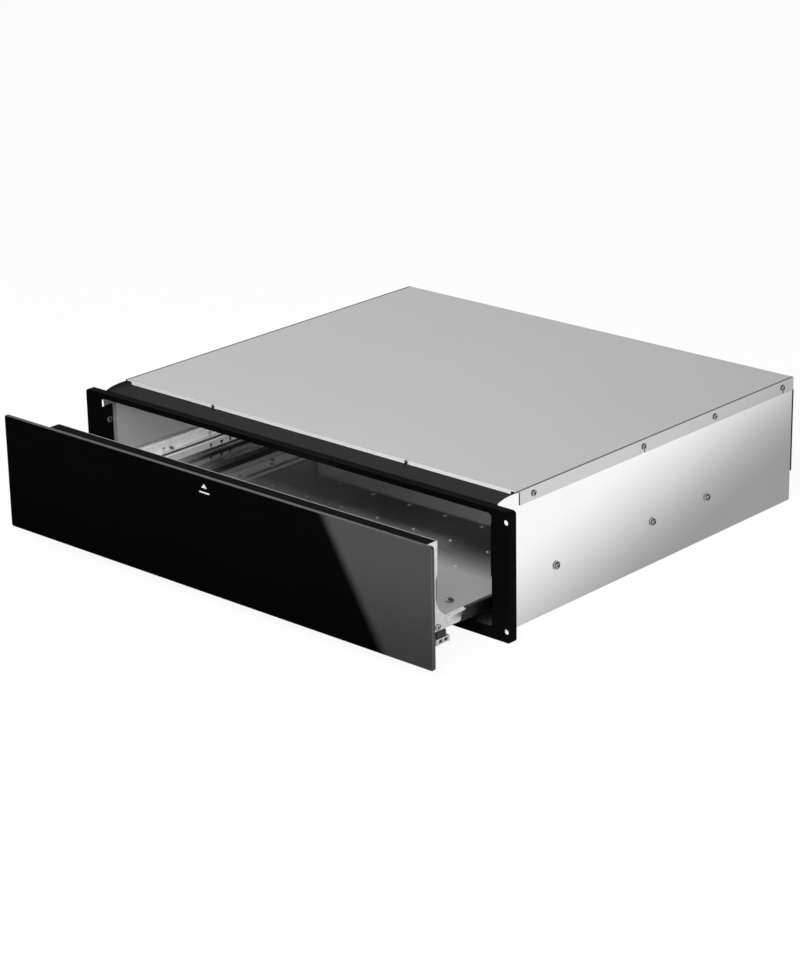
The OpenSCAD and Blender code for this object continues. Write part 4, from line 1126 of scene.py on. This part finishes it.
def knob_shell(sizes):
    """Shell of the fluted knob with its shaft and pointer, and the number of its faces before the pointer.
    The flutes cut into the radius by flute (0.5 - 0.5 cos(count angle))^2 and fade out at both ends."""
    low, high = node_box("control_knob")
    panel_y, gap, shaft, fade = -318.5, 0.4, 3.0, 1.5
    count, flute = sizes.flutes, sizes.flute_depth / MM
    foot_y = panel_y + gap + 1
    height = high[1] - foot_y - 1
    knob_x, knob_z = (low[0] + high[0]) / 2, 70.0

    def fluted(angle, rise):
        """Takes the flutes from the radius."""
        inside = np.clip(rise / fade, 0, 1) * np.clip((height - 1.0 - rise) / fade, 0, 1)
        cut = flute * inside * (0.5 - 0.5 * np.cos(count * angle)) ** 2
        return -cut * ((rise < height - 0.7) & (rise > 0.05))

    crown = [(0, -0.6), (10, -0.5), (12.6, -0.1), (13.4, 0), (13.8, -0.2), (14.0, -0.8)]
    profile = [(radius, height + drop) for radius, drop in crown]
    share = np.linspace(0.93, 0.02, 12)
    profile += zip(14 + 2 * (1 - share), share * (height - 0.8))
    body = revolved(profile + [(15.6, 0), (0, 0)], 192, ripple=fluted)
    stem = revolved([(0, 0), (shaft - 0.3, 0), (shaft, 0.3), (shaft, 13), (0, 13)], 32)
    bar = rounded_outline(2, 10, 0.9)
    bar_z = knob_z + 8
    loops = [
        spots(knob_x + bar[:, 0] * size, y, bar_z + bar[:, 1] * size)
        for size, y in ((1, foot_y + height - 1), (1, high[1] - 0.3), (0.85, high[1]))
    ]
    knob = turned(body, (0, 1, 0), (knob_x, foot_y, knob_z))
    stem = turned(stem, (0, 1, 0), (knob_x, low[1], knob_z))
    return joined([knob, stem, stacked(loops)]), len(knob[1]) + len(stem[1])


class DRAWER_OT_controls(bpy.types.Operator):
    """Thermostat, knob, switch and lamp on the back of the front box"""

    bl_idname = "drawer.controls"
    bl_label = "Controls"

    def execute(self, context):
        dress(["thermostat", "switch_housing"], 0.5)
        shell, dark = knob_shell(context.scene.drawer_controls)
        tones = [0] * dark + [1] * (len(shell[1]) - dark)
        piece("fluted_knob", shell, "knob", "control_knob", "black_plastic", "white_print", indices=tones)

        # Rocker: a hollowed face and a box-shaped foot, drawn across the key and tilted
        tilt = math.radians(-8)
        pivot = np.array([-322.0, 70.0])
        half = 7.0
        face = np.linspace(-half, half, 17)
        hollow = np.stack([3.2 + 2.3 * (face / half) ** 2, face], axis=-1)
        foot = [(4.9, half), (-5.6, 6.5), (-6.0, 6.1), (-6.0, -6.1), (-5.6, -6.5), (4.9, -half)]
        section = np.concatenate([hollow, foot])
        turn = np.array([[math.cos(tilt), math.sin(tilt)], [-math.sin(tilt), math.cos(tilt)]])
        loops = []
        for x, scale in ((-126.5, (0.93, 0.95)), (-126.1, (1, 1)), (-113.9, (1, 1)), (-113.5, (0.93, 0.95))):
            y, z = (section * scale @ turn + pivot).T
            loops.append(spots(x, y, z))
        piece("rocker_key", stacked(loops), "switch", "rocker", "red_plastic")

        low, high = node_box("pilot_lamp")
        profile = [(0, 0), (3.8, 0), (4, 0.2), (4, 16.9), (4.6, 17), (5, 17.2), *dome(5, 0.5, 17.4, 1.6)]
        lens = revolved(profile, 40)
        seat = ((low[0] + high[0]) / 2, low[1], (low[2] + high[2]) / 2)
        piece("lamp_lens", turned(lens, (0, 1, 0), seat), "drawer", "pilot_lamp", "red_plastic")
        return {"FINISHED"}


class DRAWER_OT_supply(bpy.types.Operator):
    """Terminals, inlet and thermal cut-out at the rear"""

    bl_idname = "drawer.supply"
    bl_label = "Supply"

    def execute(self, context):
        dress(["terminal_block", "thermal_cutout"], 0.3)
        low, high = node_box("cable_gland")
        panel_y, gland_z = 242.0, 18.0
        bore, stem_r, ridge, pitch, nut_r, length = 4.0, 7.9, 0.45, 1.5, 11.0, 12.8
        step = np.pi / 6

        def ribbed(angle, rise):
            """Grip ribs on the lower part of the cap."""
            return -ridge * (0.5 + 0.5 * np.cos(20 * angle)) * ((rise > 0.4) & (rise < 6.5))

        def hexagonal(angle, rise):
            """Takes the nut's middle part from a circle to a hexagon."""
            flat = nut_r * np.cos(step) / np.cos((angle % (2 * step)) - step)
            return (flat - nut_r) * ((rise < -0.9) & (rise > -4.7))

        cap = [(bore, 12), (bore, 0), (9.4, 0), (9.9, 0.5), (9.9, 5.6), (9.4, 6.4), (8.4, 10.6), (7.4, 11.7)]
        depth = np.linspace(0, length, 66)
        thread = zip(stem_r - ridge * (0.5 - 0.5 * np.cos(2 * np.pi * depth / pitch)), -depth)
        nut = [(8, -0.8), (10.3, -0.8), (11, -1.2), (11, -4.4), (10.3, -4.8), (8, -4.8)]
        shells = [
            revolved(cap + [(6.6, 12), (4.6, 12)], 120, True, ribbed),
            revolved([(bore, 0), *thread, (bore, -length)], 48, True),
            revolved(nut, 96, True, hexagonal),
        ]
        seat = ((low[0] + high[0]) / 2, panel_y, gland_z)
        shell = joined([turned(shell, (0, 1, 0), seat) for shell in shells])
        piece("gland", shell, "cabinet", "cable_gland", "black_plastic")
        return {"FINISHED"}


# Panel and registration


STEPS = [
    DRAWER_OT_stage,
    DRAWER_OT_cabinet,
    DRAWER_OT_frame,
    DRAWER_OT_slides,
    DRAWER_OT_glass,
    DRAWER_OT_front_box,
    DRAWER_OT_tray,
    DRAWER_OT_heater,
    DRAWER_OT_felt,
    DRAWER_OT_screws,
    DRAWER_OT_latch,
    DRAWER_OT_controls,
    DRAWER_OT_supply,
]
GROUPS = {
    "drawer_stage": StageLooks,
    "drawer_colours": DrawerColours,
    "drawer_glass": GlassSizes,
    "drawer_tray": TraySizes,
    "drawer_screws": ScrewSizes,
    "drawer_controls": ControlSizes,
}


class DRAWER_PT_panel(bpy.types.Panel):
    """Lists the steps and the sizes and colours that they use"""

    bl_label = "Warming drawer"
    bl_idname = "DRAWER_PT_panel"
    bl_space_type = "VIEW_3D"
    bl_region_type = "UI"
    bl_category = "Warming drawer"

    def draw(self, context):
        for step in STEPS:
            self.layout.operator(step.bl_idname)
        for group in GROUPS:
            box = self.layout.box()
            values = getattr(context.scene, group)
            for name in values.bl_rna.properties.keys():
                if name not in ("rna_type", "name"):
                    box.prop(values, name)


def register():
    for kind in list(GROUPS.values()) + STEPS + [DRAWER_PT_panel]:
        bpy.utils.register_class(kind)
    for name, kind in GROUPS.items():
        setattr(bpy.types.Scene, name, PointerProperty(type=kind))


def unregister():
    for name in GROUPS:
        delattr(bpy.types.Scene, name)
    for kind in reversed(list(GROUPS.values()) + STEPS + [DRAWER_PT_panel]):
        bpy.utils.unregister_class(kind)


def main():
    register()
    for step in STEPS:
        group, name = step.bl_idname.split(".")
        getattr(getattr(bpy.ops, group), name)()


if __name__ == "__main__":
    main()
